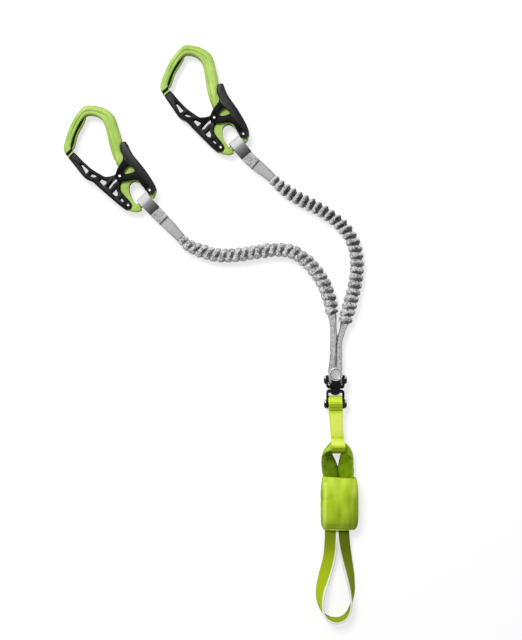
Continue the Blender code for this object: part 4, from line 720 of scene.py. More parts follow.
def makeArm(side, route):
    points = armPoints(route, 2.0 * mm)
    length = routeLength(points)
    count = round(length / elasticArm["pitch"])
    pitch = length / count
    peak, valley, sides, steps = (elasticArm[key] for key in ("peak", "valley", "sides", "stepsPerRib"))
    folds = armFolds[side]
    deselectAll()
    bpy.ops.mesh.primitive_circle_add(vertices=sides, radius=valley, location=(0, 0, 0),
                                      rotation=(0, math.pi / 2, 0))
    sleeve = named(side + "ElasticArm")
    bpy.ops.object.transform_apply(location=False, rotation=True, scale=False)
    editing(sleeve)
    radius = valley
    for k in range(1, steps + 1):  # swells ring by ring into one rib
        nextRadius = valley + (peak - valley) * ribSwell(k / steps)
        bpy.ops.mesh.extrude_region_move(TRANSFORM_OT_translate={"value": (pitch / steps, 0, 0)})
        bpy.ops.transform.resize(value=(1, nextRadius / radius, nextRadius / radius),
                                 center_override=(k * pitch / steps, 0, 0))
        radius = nextRadius
    editingDone()
    applyModifier(sleeve, "ARRAY", count=count, use_relative_offset=False, use_constant_offset=True,
                  constant_offset_displace=(pitch, 0, 0), use_merge_vertices=True, merge_threshold=0.00005)
    for end in (0.0, length):  # closes both ends over the webbing inside
        pickVertices(sleeve, lambda co: abs(co.x - end) < 0.00005)
        bpy.ops.mesh.edge_face_add()
        bpy.ops.mesh.inset(thickness=elasticArm["endInset"], depth=0)
        editingDone()
    editing(sleeve)
    bpy.ops.mesh.normals_make_consistent(inside=False)
    editingDone()
    flat = [(vertex.co.x, math.atan2(vertex.co.z, vertex.co.y), math.hypot(vertex.co.y, vertex.co.z))
            for vertex in sleeve.data.vertices]
    layer = sleeve.data.uv_layers.new(name="threads")
    for face in sleeve.data.polygons:
        turns = [flat[sleeve.data.loops[k].vertex_index][1] for k in face.loop_indices]
        highest = max(turns)
        for k, turn in zip(face.loop_indices, turns):
            if highest - turn > math.pi:
                turn += 2 * math.pi
            layer.data[k].uv = (flat[sleeve.data.loops[k].vertex_index][0], turn * peak)
    names = ("ribCount", "pocketHalf", "pocketDark", "heather")
    ribCount, pocketHalf, pocketDark, mottle = pointValues(sleeve, *names)
    first, last, seed = elasticArm["firstRibs"], elasticArm["lastRibs"], folds["seed"]
    for vertex, (x, turn, around) in zip(sleeve.data.vertices, flat):
        rib = min(int(x / pitch + 0.001), count - 1)
        share, part = x / length, x / pitch - int(x / pitch + 0.001)
        fromLast = count - 1 - rib
        grow = first[rib] if rib < len(first) else last[fromLast] if fromLast < len(last) else 1.0
        sideways, up = math.cos(turn), math.sin(turn)
        bead = ribSwell(part)
        middle, reach, half, dark, lean, wide = (
            blendAt(folds[key], share) for key in ("middle", "reach", "half", "dark", "lean", "wide"))
        wander = 0.2 * noise.noise(Vector((rib * 1.7 + seed, 2.2, 7.1)))
        pocket = math.exp(-((sideways - middle - wander) / reach) ** 4)
        half = elasticArm["rimSlit"] + (half - elasticArm["rimSlit"]) * pocket
        sunk = min(max((half + 0.06 - min(part, 1 - part)) / 0.14, 0.0), 1.0)
        uneven = noise.noise(Vector((x / (pitch * 0.4) + seed, sideways * 2.6, up * 2.6)))
        if around > valley * 0.97:  # the ring itself; what is nearer the middle closes the end
            around = peak - elasticArm["rimDepth"] * (1 - bead) + 0.3 * mm * uneven
            around -= elasticArm["pocketDepth"] * pocket * sunk * sunk * (3 - 2 * sunk)
            around *= 1 + 0.05 * noise.noise(Vector((rib * 3.7 + seed, 0.5, 0.2)))
        ribCount[vertex.index].value = x / pitch
        mottle[vertex.index].value = blendAt(folds["mottle"], share)
        pocketHalf[vertex.index].value = half
        pocketDark[vertex.index].value = dark * (0.6 + 0.4 * pocket)
        lean = lean * sideways + 0.08 * noise.noise(Vector((rib * 1.9 + seed, 4.2, sideways)))
        ends = min(1.0, min(x, length - x) / (pitch * 1.2))
        along = min(max(x + lean * pitch * ends, 0.0), length)
        height = max(around * grow * up, elasticArm["groundGap"] - elasticArm["height"])
        vertex.co = (along, around * grow * sideways * wide, height)
    stations = stationsOn(points, lambda share, way, place: Vector((-way.y, way.x, 0)))
    layAlong(sleeve, stations, length)
    finishPiece(sleeve, "arms", "grey_webbing", gatheredSleeve, side + "_elastic_arm", side + "_elastic_core",
                smoothAt=80)
    print(side, "arm:", round(length / mm, 1), "mm,", count, "ribs")
    return points


leftArm = makeArm("left", leftArmRoute)
rightArm = makeArm("right", rightArmRoute)


# Sewn loops round the carabiners' bars, with their wear sleeves

endLoop = {"width": 12.2 * mm, "layer": 2.0 * mm, "wrapMiddle": 4.25 * mm, "cutEnd": 27.4 * mm,
           "begin": 15.0 * mm, "legFrom": 11.0 * mm, "sleeveBend": 9.5 * mm, "grid": (150, 8, 0.45 * mm),
           "crumple": (6.0 * mm, 0.22 * mm), "sleeveGrid": (60, 8, 0.25 * mm), "stitchLift": 1.02 * mm,
           "stitchWidth": 9.6 * mm, "turns": (125, 105, 80, 55, 30, 0, -30, -55, -80, -105, -125),
           "sleeveTurns": (120, 100, 75, 50, 25, 0, -25, -50, -75, -100, -120),
           "widthAtArm": 9.4 * mm, "height": 7.5 * mm, "sleeveWall": 0.9 * mm, "sleeveWidth": 12.6 * mm,
           "sleeveMiddle": 5.75 * mm, "sleeveLength": 14.0 * mm, "sleeveLeg": 2.95 * mm}
barPlaces = {"left": ((-66.1 * mm, 133.8 * mm), 44.0), "right": ((26.2 * mm, 190.2 * mm), 39.8)}


def barFrame(side):  # from the bar's own frame to the object's
    spot, degrees = barPlaces[side]
    return Matrix.Translation((*spot, endLoop["height"])) @ Matrix.Rotation(math.radians(degrees), 4, "Z")


def arcPoints(radius, turns):  # round the bar, in its own frame
    angles = [math.radians(a) for a in turns]
    return [Vector((0, radius * math.cos(angle), radius * math.sin(angle))) for angle in angles]


def legPoints(turn, arm, count=14):  # the leg's middle line from the bar to the arm's first rib
    down = (turn.to_3x3() @ Vector((0, -1, 0))).normalized()
    begin = turn @ Vector((0, -endLoop["begin"], 0))
    target = arm[0].copy()
    finalWay = (arm[2] - arm[0]).normalized()
    span = (target - begin).length
    points = []
    for k in range(count + 1):
        s = k / count
        points.append(begin * (2 * s ** 3 - 3 * s ** 2 + 1) + down * span * (s ** 3 - 2 * s ** 2 + s)
                      + target * (3 * s ** 2 - 2 * s ** 3) + finalWay * span * (s ** 3 - s ** 2))
    return points


def makeEndLoop(side, arm, seed):
    turn = barFrame(side)
    axis = turn.to_3x3() @ Vector((1, 0, 0))
    layer, wrap = endLoop["layer"], endLoop["wrapMiddle"]
    middleLine = [turn @ Vector((0, -endLoop["legFrom"], 0))] + legPoints(turn, arm)
    fine = smoothRoute(middleLine, 1.0 * mm)
    toCut = round((endLoop["cutEnd"] - endLoop["legFrom"]) / (1.0 * mm))
    lift = Vector((0, 0, layer / 2 + 0.1 * mm))
    top = [point + lift for point in fine[:toCut + 1]][::-1]
    around = [turn @ point for point in arcPoints(wrap, endLoop["turns"])]
    under = [point - lift for point in fine]
    total = len(under) - 1
    for k, point in enumerate(under):  # past the cut end the webbing swells into the arm
        share = max(0.0, (k - toCut - 1) / (total - toCut - 1))
        point.z += (lift.z + 0.0002) * min(1.0, share * 2.2)
    route = top + around + under
    cutShare = len(top) / len(route)
    length = routeLength(route)

    def across(share, way, place):  # along the bar at first, and square to the way further down
        if share <= 0.55 or Vector((way.x, way.y, 0)).length <= 0.5:
            return axis.copy()
        sideways = Vector((-way.y, way.x, 0)).normalized()
        return -sideways if sideways.dot(axis) < 0 else sideways

    afterCut = (len(top) + len(around) + toCut) / (len(route) - 1)
    narrow = endLoop["widthAtArm"] / endLoop["width"]
    wide = [(0.0, 0.97), (cutShare, 1.0), (afterCut, 0.99), (afterCut + 0.06, 0.96), (1.0, narrow)]
    thick = [(0.0, 0.98), (cutShare * 0.9, 0.98), (cutShare + 0.05, 0.72), (cutShare + 0.16, 0.72),
             (cutShare + 0.22, 0.98), (afterCut, 1.0), (afterCut + 0.1, 2.0), (1.0, 3.2)]
    band = flatBand(side + "EndLoop", length, endLoop["width"], layer, *endLoop["grid"])
    for vertex in band.data.vertices:  # the free edges are a little thinner than the middle
        vertex.co.z *= 1.0 - 0.18 * abs(vertex.co.y) / (endLoop["width"] / 2)

    def shadow(x, y):  # dark at the cut end, and towards the edges where the webbing turns into the arm
        share, edge = x / length, abs(y) / endLoop["width"] * 2
        further = max(0.0, (share - afterCut) / (1 - afterCut))
        return 0.75 * math.exp(-(share / 0.006) ** 2) + 0.4 * further * edge ** 2

    shadeFolds(band, shadow)
    [heatherAt] = pointValues(band, "heather")
    for vertex in band.data.vertices:  # speckled where it is sewn, plain further down
        heatherAt[vertex.index].value = 0.9 if vertex.co.x < length * (afterCut - 0.02) else 0.22
    layAlong(band, stationsOn(route, across, wide, thick), length)
    crumpled(band, *endLoop["crumple"], seed)
    finishPiece(band, "arms", "grey_webbing", greyWebbing, side + "_end_loop", smoothAt=60)
    lift, width = endLoop["stitchLift"], endLoop["stitchWidth"]
    makeZigzag(side + "EndLoopStitches", top[1:14], across, lift, width, 4, 5, paleThread)
    makeSleeve(side, turn, axis)


def makeZigzag(name, route, across, lift, width, rows, pairs, material, body="arms", slotName="grey_webbing",
               thickness=0.28 * mm):  # zigzag rows of thread: one pair is modelled and repeated
    length = routeLength(route)
    pitch = length / pairs
    deselectAll()
    bpy.ops.mesh.primitive_cylinder_add(vertices=6, radius=thickness, depth=pitch * 0.62,
                                        location=(pitch * 0.25, 0, lift), rotation=(0, math.pi / 2, 0))
    stitch = named(name)
    bpy.ops.object.transform_apply(location=True, rotation=True, scale=False)
    pickFaces(stitch, lambda face: abs(face.normal.x) > 0.9, "FACE")
    bpy.ops.mesh.inset(thickness=thickness * 0.45, depth=thickness * 0.3, use_individual=True)
    editingDone()
    rowPitch = width / rows
    for vertex in stitch.data.vertices:  # each stitch dives into the webbing at its ends
        share = (vertex.co.x - pitch * 0.25) / (pitch * 0.31)
        vertex.co.y += share * rowPitch * 0.36
        vertex.co.z -= thickness * 0.9 * share * share
    twin = copied(stitch, name + "Back")
    for vertex in twin.data.vertices:
        vertex.co.y = -vertex.co.y
        vertex.co.x += pitch * 0.5
    editing(twin)
    bpy.ops.mesh.normals_make_consistent(inside=False)
    editingDone()
    stitch = joined(stitch, twin)
    applyModifier(stitch, "ARRAY", count=pairs, use_relative_offset=False, use_constant_offset=True,
                  constant_offset_displace=(pitch, 0, 0))
    applyModifier(stitch, "ARRAY", count=rows, use_relative_offset=False, use_constant_offset=True,
                  constant_offset_displace=(0, rowPitch, 0))
    moved(stitch, Matrix.Translation((0, -rowPitch * (rows - 1) / 2, 0)))
    threadMap(stitch)
    layAlong(stitch, stationsOn(route, across), length)
    return finishPiece(stitch, body, slotName, material, smoothAt=60)


def makeSleeve(side, turn, axis):
    ends = [Vector((0, -y, endLoop["sleeveLeg"])) for y in (endLoop["sleeveLength"], endLoop["sleeveBend"])]
    back = [Vector((0, place.y, -place.z)) for place in reversed(ends)]
    bend = arcPoints(endLoop["sleeveMiddle"], endLoop["sleeveTurns"])
    route = smoothRoute([turn @ point for point in ends + bend + back], 0.8 * mm)
    length = routeLength(route)
    width, wall = endLoop["sleeveWidth"], endLoop["sleeveWall"]
    band = flatBand(side + "WearSleeve", length, width, wall, *endLoop["sleeveGrid"])
    [fade] = pointValues(band, "fade")
    # painted shade: the fade value grows towards the sleeve's open ends
    for vertex in band.data.vertices:
        fromEnd = min(vertex.co.x, length - vertex.co.x)
        fade[vertex.index].value = 1.0 - min(1.0, fromEnd / (endLoop["sleeveLength"] - 1.0 * mm))
        vertex.co.z *= 1.0 - 0.1 * abs(vertex.co.y) / (width / 2)
    layAlong(band, stationsOn(route, lambda share, way, place: axis), length)
    finishPiece(band, "arms", "grey_webbing", sleeveWebbing, side + "_wear_sleeve", smoothAt=50)


makeEndLoop("left", leftArm, 2.0)
makeEndLoop("right", rightArm, 7.0)
print("end loops sewn")


# Lower strands, from the arms' ends to the swivel's bolt

strand = {"layer": 2.4 * mm, "leftWidth": 6.2 * mm, "rightWidth": 5.6 * mm, "loopWidth": 6.4 * mm,
          "wrapMiddle": 4.15 * mm, "height": 7.5 * mm, "boltY": -45.1 * mm, "boltGap": 11.0 * mm,
          "grid": (130, 8, 0.6 * mm), "crumple": (4.5 * mm, 0.5 * mm), "fineCrumple": (1.6 * mm, 0.18 * mm),
          "turns": (130, 105, 80, 55, 30, 0, -30, -55, -80, -105, -130), "layerGap": 0.05 * mm}
leftStrandRoute = [(121.5, 16.0), (122.1, 9.0), (122.5, 0.0), (122.4, -10.0), (121.9, -21.0)]
rightStrandRoute = [(132.1, 7.0), (130.5, 1.6), (128.6, -4.0), (128.0, -12.0), (127.9, -21.0)]


def makeStrand(side, arm, route, width, boltX, seed):
    spots = [Vector((arm[-1].x, arm[-1].y, 0))] + [Vector((x * mm, y * mm, 0)) for x, y in route]
    spots += [Vector((boltX, strand["boltY"] + strand["boltGap"], 0))]
    line = smoothRoute(spots, 1.2 * mm)
    last = len(line) - 1
    for k, point in enumerate(line):
        point.z = elasticArm["height"] + (strand["height"] - elasticArm["height"]) * k / last
    bolt = Vector((boltX, strand["boltY"], strand["height"]))
    lift, wrap = Vector((0, 0, strand["layer"] / 2 + strand["layerGap"])), strand["wrapMiddle"]
    top = [point + lift for point in line]
    angles = [math.radians(a) for a in strand["turns"]]
    around = [bolt + Vector((0, -wrap * math.cos(angle), wrap * math.sin(angle))) for angle in angles]
    under = [point - lift for point in line][::-1]
    full = top + around + under
    length = routeLength(full)
    mid = len(top) / len(full)
    ways = headings(line)

    def across(share, way, place):
        nearest = min(range(len(line)), key=lambda k: (line[k] - place).length)
        return Vector((-ways[nearest].y, ways[nearest].x, 0))

    loopShare = strand["loopWidth"] / width
    wide = [(0.0, 1.35), (0.08, 1.0), (mid * 0.8, 1.0), (mid, loopShare), (1 - mid, loopShare),
            (1 - mid * 0.8, 1.0), (0.92, 1.0), (1.0, 1.35)]
    thick = [(0.0, 1.1), (mid * 0.85, 1.0), (mid + 0.02, 1.0), (1.0, 1.1)]
    band = flatBand(side + "LowerStrand", length, width, strand["layer"], *strand["grid"])
    stations = stationsOn(full, across, wide, thick)
    for vertex in band.data.vertices:  # the edges roll down, so that the two layers read as one soft strand
        vertex.co.z *= 1.0 - 0.35 * (abs(vertex.co.y) / (width / 2)) ** 2
    inner = 1 if side == "left" else -1

    def shadow(x, y):  # dark on the inner edge, in the creases and a little at both edges
        edge, crease = y / (width / 2), noise.noise(Vector((x / (9 * mm) + seed, y / (1.3 * mm), 0.4)))
        return 0.9 * max(0.0, inner * edge) ** 5 + 0.8 * max(0.0, crease - 0.05) + 0.6 * abs(edge) ** 4

    shadeFolds(band, shadow)
    [heatherAt] = pointValues(band, "heather")
    for vertex in band.data.vertices:
        heatherAt[vertex.index].value = 0.8
    layAlong(band, stations, length)
    crumpled(band, *strand["crumple"], seed)
    crumpled(band, *strand["fineCrumple"], seed + 5)
    finishPiece(band, "arms", "grey_webbing", strandWebbing, side + "_lower_strand", smoothAt=70)


makeStrand("left", leftArm, leftStrandRoute, strand["leftWidth"], 120.6 * mm, 4.0)
makeStrand("right", rightArm, rightStrandRoute, strand["rightWidth"], 127.6 * mm, 9.0)
print("lower strands laid")


# Carabiners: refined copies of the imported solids, in their finishes

carabinerLook = {"bodyEdge": 0.3 * mm, "plateEdge": 0.18 * mm, "pinEdge": 0.15 * mm, "barY": 5.0 * mm,
                 "noseBand": (90.0 * mm, 92.9 * mm), "openings": [(-4.0, 92.0), (-8.0, 70.0), (0.0, 12.0)],
                 "lipWidth": 2.8 * mm, "lipHeight": 4.6 * mm, "lipSink": 0.4 * mm, "strutEdge": 13.4 * mm,
                 "headRim": 0.5 * mm, "headFace": 2.0 * mm * mm, "gateShade": 0.48, "rootSwell": 0.8 * mm,
                 "rootCover": 1.7 * mm, "rootLimit": 14.9 * mm, "rootDrop": 5.0 * mm, "swellY": 59.8 * mm,
                 "coverY": 56.5 * mm, "rootEnds": (51.0 * mm, 64.0 * mm), "strutsFrom": 22.0 * mm,
                 "lipGrid": (60, 12, 0.3 * mm)}
barShift = Vector((0, carabinerLook["barY"], 0))
lipLine = [(-16.4, 91.9), (-15.0, 92.0), (-11.5, 93.6), (-4.2, 98.2), (1.5, 100.5), (7.0, 102.2),
           (12.2, 104.2), (16.0, 106.6)]


def noseBand(piece, side):  # painted shadow: the deep notch in the nose is painted as a black band above its last green rib
    turn = barFrame(side)
    back = turn.inverted()
    along = (turn.to_3x3() @ Vector((0, 1, 0))).normalized()
    for y in carabinerLook["noseBand"]:
        editing(piece)
        bpy.ops.mesh.bisect(plane_co=turn @ Vector((0, y - carabinerLook["barY"], 0)), plane_no=along)
        editingDone()
    low, high = carabinerLook["noseBand"]
    giveFinishes(piece, greenAnodised, blackCoatAndNoseShadow, shadedGreen)
    openings = [Vector((x * mm, y * mm, 0)) for x, y in carabinerLook["openings"]]
    for face in piece.data.polygons:  # the walls above the inner lip and in the eye lie in shade
        local = back @ face.center + barShift
        normal = back.to_3x3() @ face.normal
        nearest = min(openings, key=lambda middle: (middle.xy - local.xy).length)
        inside = (nearest.xy - local.xy).dot(normal.xy) > 0 and abs(normal.z) < 0.55
        shaded = inside and (local.y > 90 * mm and local.x < 9 * mm or local.y < 40 * mm)
        face.material_index = 1 if low < local.y < high and local.x < -16 * mm else 2 if shaded else 0


def easeRoot(piece, side):  # no ledge shows where the spine dips under the lever
    turn = barFrame(side)
    back = turn.inverted()
    for vertex in piece.data.vertices:
        local = back @ vertex.co + barShift
        if 51.0 * mm < local.y < 53.6 * mm and 4.5 * mm < local.x < 17 * mm and abs(local.z) > 3.6 * mm:
            local.y -= carabinerLook["rootDrop"]
            local.x = min(local.x, carabinerLook["rootLimit"])
        if local.x > 13.5 * mm and 54 * mm < local.y < 64 * mm:
            away = (local.y - carabinerLook["swellY"]) / (1.8 * mm)
            local.x += carabinerLook["rootSwell"] * math.exp(-away ** 2)
        vertex.co = turn @ (local - barShift)


def coverRoot(piece, side):  # the lever's plates reach over the spine's edge
    turn = barFrame(side)
    back = turn.inverted()
    low, high = carabinerLook["rootEnds"]
    for vertex in piece.data.vertices:
        local = back @ vertex.co + barShift
        if local.x < 17.0 * mm + 0.62 * (local.y - low) and low < local.y < high:
            away = (local.y - carabinerLook["coverY"]) / (3.4 * mm)
            local.x -= carabinerLook["rootCover"] * math.exp(-away ** 2)
            vertex.co = turn @ (local - barShift)


def paintStrutShade(piece, side):  # painted shade: the lever's struts are darker than its grip, which catches the light
    turn = barFrame(side)
    back = turn.inverted()
    across = (turn.to_3x3() @ Vector((1, 0, 0))).normalized()
    editing(piece)
    bpy.ops.mesh.bisect(plane_co=turn @ Vector((carabinerLook["strutEdge"], 0, 0)), plane_no=across)
    editingDone()
    giveFinishes(piece, blackAnodised, shadedStrutBlack)
    for face in piece.data.polygons:
        local = back @ face.center + barShift
        onStrut = local.x < carabinerLook["strutEdge"] and local.y > carabinerLook["strutsFrom"]
        face.material_index = int(onStrut)


def litTopShadedRim(piece):  # painted highlight and shade: a bright head in a dark rim
    pickFaces(piece, lambda face: face.normal.z > 0.95 and face.area > carabinerLook["headFace"])
    bpy.ops.mesh.inset(thickness=carabinerLook["headRim"], depth=0)
    editingDone()
    giveFinishes(piece, brightSteelAndGlint, blackenedSteelAndRimShade)
    for face in piece.data.polygons:
        face.material_index = 0 if face.select else 1


def makeLip(side):  # the thin lip inside the nose arch, where the cable runs
    turn = barFrame(side)
    barY, sink = carabinerLook["barY"], carabinerLook["lipSink"]
    edge = smoothRoute([(x * mm, y * mm - barY, -sink) for x, y in lipLine], 0.8 * mm)
    width = carabinerLook["lipWidth"]
    ways = headings(edge)
    route = [turn @ (place + Vector((-way.y, way.x, 0)) * width / 2) for place, way in zip(edge, ways)]
    length = routeLength(route)
    lip = flatBand(side + "InnerLip", length, width, carabinerLook["lipHeight"], *carabinerLook["lipGrid"])
    # painted shadow along the lip's side next to the wall, fading out towards its far end
    shadeFolds(lip, lambda x, y: min(1.0, (y + (0.35 + 0.25 * x / length) * mm) / (0.35 * mm))
               * min(1.0, (1 - x / length) / 0.08))
    layAlong(lip, stationsOn(route, lambda share, way, place: Vector((-way.y, way.x, 0))), length)
    finishPiece(lip, side + "_carabiner", "green_anodised", shadedLipGreen, smoothAt=40)


def makeCarabiner(side):
    body, lever, gate = side + "_carabiner", side + "_lever", side + "_gate_body"
    bodyEdge, plateEdge, pinEdge = (carabinerLook[key] for key in ("bodyEdge", "plateEdge", "pinEdge"))
    rows = [
        ("carabiner_body", "CarabinerBody", body, "green_anodised", greenAnodised, bodyEdge),
        ("gate_rivet", "GateRivet", body, "bright_steel", brightSteelAndGlint, pinEdge),
        ("lever_rivet", "LeverRivet", body, "bright_steel", brightSteelAndGlint, pinEdge),
        ("palm_lever", "PalmLever", lever, "black_anodised", blackAnodised, plateEdge),
        ("lock_pin", "LockPin", lever, "bright_steel", brightSteelAndGlint, pinEdge),
        ("lever_spring", "LeverSpring", lever, "spring_steel", springSteel, 0),
        ("gate", "Gate", gate, "black_anodised", blackAnodised, plateEdge),
    ]
    for node, title, rider, slotName, material, edge in rows:
        piece = refinedCopy(side + "_" + node, side + title, edge)
        if node == "carabiner_body":
            easeRoot(piece, side)
            noseBand(piece, side)
        if node == "gate":
            shadeFolds(piece, lambda x, y: carabinerLook["gateShade"])
        if node == "palm_lever":
            coverRoot(piece, side)
            paintStrutShade(piece, side)
        if edge == pinEdge:
            litTopShadedRim(piece)
        finishPiece(piece, rider, slotName, material, side + "_" + node, smoothAt=40)
    makeLip(side)


makeCarabiner("left")
makeCarabiner("right")
print("carabiners dressed")


# Swivel: forks, bolts, pin, keeper and its cap

swivelLook = {"forkEdge": 0.35 * mm, "boltEdge": 0.25 * mm, "axisX": 124.1 * mm, "brightFrom": 9.4 * mm,
              "ring": (4.42 * mm, 4.88 * mm), "capGrow": 1.1, "washerEdge": 0.1 * mm, "keeperEdge": 0.3 * mm,
              "capEdge": 0.18 * mm}


def makeSwivel():
    lower, upper = "lower_swivel", "upper_swivel"
    coated = ("black_coated", blackCoatAndNoseShadow, swivelLook["forkEdge"], 3)
    blackened = ("blackened_steel", blackenedSteelAndRimShade, swivelLook["boltEdge"], 2)
    rows = [
        ("lower_fork", "lowerFork", lower, *coated),
        ("lower_bolt", "lowerBolt", lower, *blackened),
        ("lower_nut", "lowerNut", lower, *blackened),
        ("upper_fork", "upperFork", upper, *coated),
        ("upper_bolt", "upperBolt", upper, *blackened),
        ("upper_nut", "upperNut", upper, *blackened),
        ("swivel_pin", "swivelPin", upper, *blackened),
        ("swivel_washer", "swivelWasher", upper, "spring_steel", blackenedSteelAndRimShade, swivelLook["washerEdge"], 2),
        ("keeper", "keeperTongue", upper, "black_coated", blackCoatAndNoseShadow, swivelLook["keeperEdge"], 3),
        ("keeper_cap", "keeperCap", upper, "bright_steel", brightSteelAndGlint, swivelLook["capEdge"], 3),
    ]
    for node, title, rider, slotName, material, edge, segments in rows:
        piece = refinedCopy(node, title, edge, segments)
        if node == "keeper_cap":  # a bright disc with a dark ring sunk in it
            middle = sum((vertex.co for vertex in piece.data.vertices), Vector()) / len(piece.data.vertices)
            giveFinishes(piece, capSteel, blackenedSteelAndRimShade)
            for face in piece.data.polygons:
                reach = (face.center.xy - middle.xy).length
                face.material_index = int(swivelLook["ring"][0] < reach < swivelLook["ring"][1])
            for vertex in piece.data.vertices:
                vertex.co.xy = middle.xy + (vertex.co.xy - middle.xy) * swivelLook["capGrow"]
        if node.endswith(("bolt", "nut")):  # painted highlight: the domed ends' faces turned up towards the lamp are bright
            giveFinishes(piece, blackenedSteelAndRimShade, brightSteelAndGlint)
            for face in piece.data.polygons:
                outer = abs(face.center.x - swivelLook["axisX"]) > swivelLook["brightFrom"]
                face.material_index = int(outer and face.normal.y > 0.3)
        finishPiece(piece, rider, slotName, material, node, smoothAt=40)


makeSwivel()
print("swivel dressed")


# Bright sling between the swivel and the absorber

sling = {"width": 13.5 * mm, "layer": 2.5 * mm, "height": 7.5 * mm, "topY": -69.2 * mm, "topX": 124.1 * mm,
         "groundGap": 0.15 * mm, "grid": (420, 8, 0.4 * mm), "crumple": (7.0 * mm, 0.2 * mm),
         "ridgePitch": 1.68 * mm, "ridgeHeight": 0.4 * mm, "ridgesFrom": 2.9 * mm, "ridgesLong": 11.4 * mm,
         "patchFrom": 9.6 * mm, "patchEnd": 9.5 * mm, "foldFrom": 1.4 * mm,
         "lowY": -111.6 * mm, "lowX": 127.5 * mm, "topMiddle": 6.9 * mm, "lowMiddle": 6.1 * mm,
         "drift": [(0.0, 123.7), (0.24, 124.6), (0.6, 125.1), (0.8, 126.1), (1.0, 127.25)],
         "spread": [(0.0, 1.02), (0.25, 1.01), (0.6, 0.92), (0.8, 0.95), (0.95, 1.0), (1.0, 1.0)]}


def makeSling():
    top = Vector((sling["topX"], sling["topY"], sling["height"]))
    low = Vector((sling["lowX"], sling["lowY"], sling["height"]))
    layer = sling["layer"]

    def fromTop(y):
        return min(max((top.y + 5 * mm - y) / (47 * mm), 0.0), 1.0)

    def drift(y):
        return blendAt(sling["drift"], fromTop(y)) * mm

    rows = []
    for a in range(180, -1, -15):  # from under the bolt to over it
        rows.append((top.y + sling["topMiddle"] * math.sin(math.radians(a)),
                     top.z + sling["topMiddle"] * math.cos(math.radians(a))))
    front = [(top.y - 6.5 * mm - k * 2.6 * mm, top.z + layer / 2 + 0.25 * mm) for k in range(12)]
    bottom = [(low.y - sling["lowMiddle"] * math.sin(math.radians(a)),
               low.z + sling["lowMiddle"] * math.cos(math.radians(a))) for a in range(0, 181, 15)]
    back = [(y, 2 * top.z - z) for y, z in reversed(front)]
    ring = rows + front + bottom + back
    points = [Vector((drift(y), y, z)) for y, z in ring]
    points.append(points[0] + Vector((0, -0.02 * mm, 0)))
    route = smoothRoute(points, 0.8 * mm)
    length = routeLength(route)
    band = flatBand("labelSling", length, sling["width"], layer, *sling["grid"])
    for vertex in band.data.vertices:
        vertex.co.z *= 1.0 - 0.12 * abs(vertex.co.y) / (sling["width"] / 2)
    layAlong(band, stationsOn(route, lambda share, way, place: Vector((1, 0, 0))), length)
    fold, patch, streak = pointValues(band, "fold", "patch", "streak")
    for vertex in band.data.vertices:  # ridges below the bolt with painted shade in their grooves, a pale patch, a pale end and the dark fold's painted shade
        x, y, z = vertex.co
        vertex.co.x = drift(y) + (x - drift(y)) * blendAt(sling["spread"], fromTop(y))
        side = abs(x - drift(y)) / (sling["width"] / 2)
        dark = 0.0
        front = z > top.z + 1.0 * mm
        share = (top.y + sling["ridgesFrom"] - y) / sling["ridgesLong"]
        if front and 0 < share < 1:
            ridge = 0.5 + 0.5 * math.cos(2 * math.pi * (y - top.y) / sling["ridgePitch"])
            swellUp = math.sin(math.pi * share) ** 0.3
            vertex.co.z += sling["ridgeHeight"] * (1 - ridge) * swellUp
            dark = (0.1 * share + 1.25 * ridge ** 1.8) * swellUp * (1 - 0.35 * side ** 4)
        if y < low.y + sling["foldFrom"]:
            dark = 0.42 + 0.5 * min(1.0, (low.y + 0.4 * mm - y) / (5.0 * mm))
            dark += 0.3 * math.exp(-((y - low.y + 1.6 * mm) / (0.7 * mm)) ** 2)
        fold[vertex.index].value = max(0.0, dark)
        belowTop = min(1.0, max(0.0, (top.y - sling["patchFrom"] - y) / (0.8 * mm)))
        aboveLow = min(1.0, max(0.0, (y - low.y - sling["patchEnd"]) / (3 * mm)))
        patch[vertex.index].value = belowTop * aboveLow * front * (side < 0.9)
        streak[vertex.index].value = front * math.exp(-((y - low.y - 3.6 * mm) / (2.2 * mm)) ** 2) * 0.8
    crumpled(band, *sling["crumple"], 1.0)
    for vertex in band.data.vertices:  # it rests on the ground
        vertex.co.z = max(vertex.co.z, sling["groundGap"])
    finishPiece(band, "sling", "bright_webbing", brightWebbing, "label_sling", smoothAt=60)
    heights = [top.y - 27 * mm - k * 1.0 * mm for k in range(10)]
    seam = [Vector((drift(y), y, top.z + layer + 0.3 * mm)) for y in heights]
    makeZigzag("slingStitches", seam, lambda share, way, place: Vector((1, 0, 0)), 0.05 * mm, 10.5 * mm, 4, 4,
               greenThread, "sling", "bright_webbing", 0.22 * mm)


makeSling()
print("sling laid")


# Absorber loop: one wide strap folded small in the sling's end

absorber = {"crown": (127.5 * mm, -111.6 * mm, 7.5 * mm), "widest": 12.0, "thickest": 5.6,
            "grid": (110, 12, 1.4 * mm), "crumple": (9.0 * mm, 0.5 * mm),
            "fineCrumple": (3.0 * mm, 0.15 * mm), "grooveDepth": 0.5 * mm, "shoulder": 13.0}
absorberLegs = {  # middle, width and thickness at steps away from the crown, in mm
    "left": [(0.0, 1.0, 7.4, 5.6), (-4.6, 1.3, 7.6, 5.6), (-7.5, -1.1, 8.0, 5.4), (-10.7, -6.3, 9.6, 5.0),
             (-11.1, -10.5, 11.8, 4.8), (-10.2, -15.5, 13.9, 4.8), (-9.1, -20.5, 15.9, 4.8),
             (-8.5, -25.0, 16.4, 4.8), (-7.6, -31.0, 14.4, 5.0), (-6.8, -38.0, 12.8, 5.4),
             (-6.4, -45.5, 12.3, 5.6)],
    "right": [(0.0, 1.0, 7.4, 5.6), (3.6, 0.2, 7.6, 5.6), (6.6, -2.4, 9.0, 5.4), (7.7, -7.0, 11.6, 5.0),
              (7.8, -11.5, 13.5, 4.8), (7.5, -16.0, 14.8, 4.8), (7.1, -20.5, 16.0, 4.8),
              (7.1, -25.0, 16.4, 4.8), (7.0, -31.0, 14.4, 5.0), (6.6, -38.0, 12.8, 5.4),
              (6.4, -45.5, 12.3, 5.6)],
}


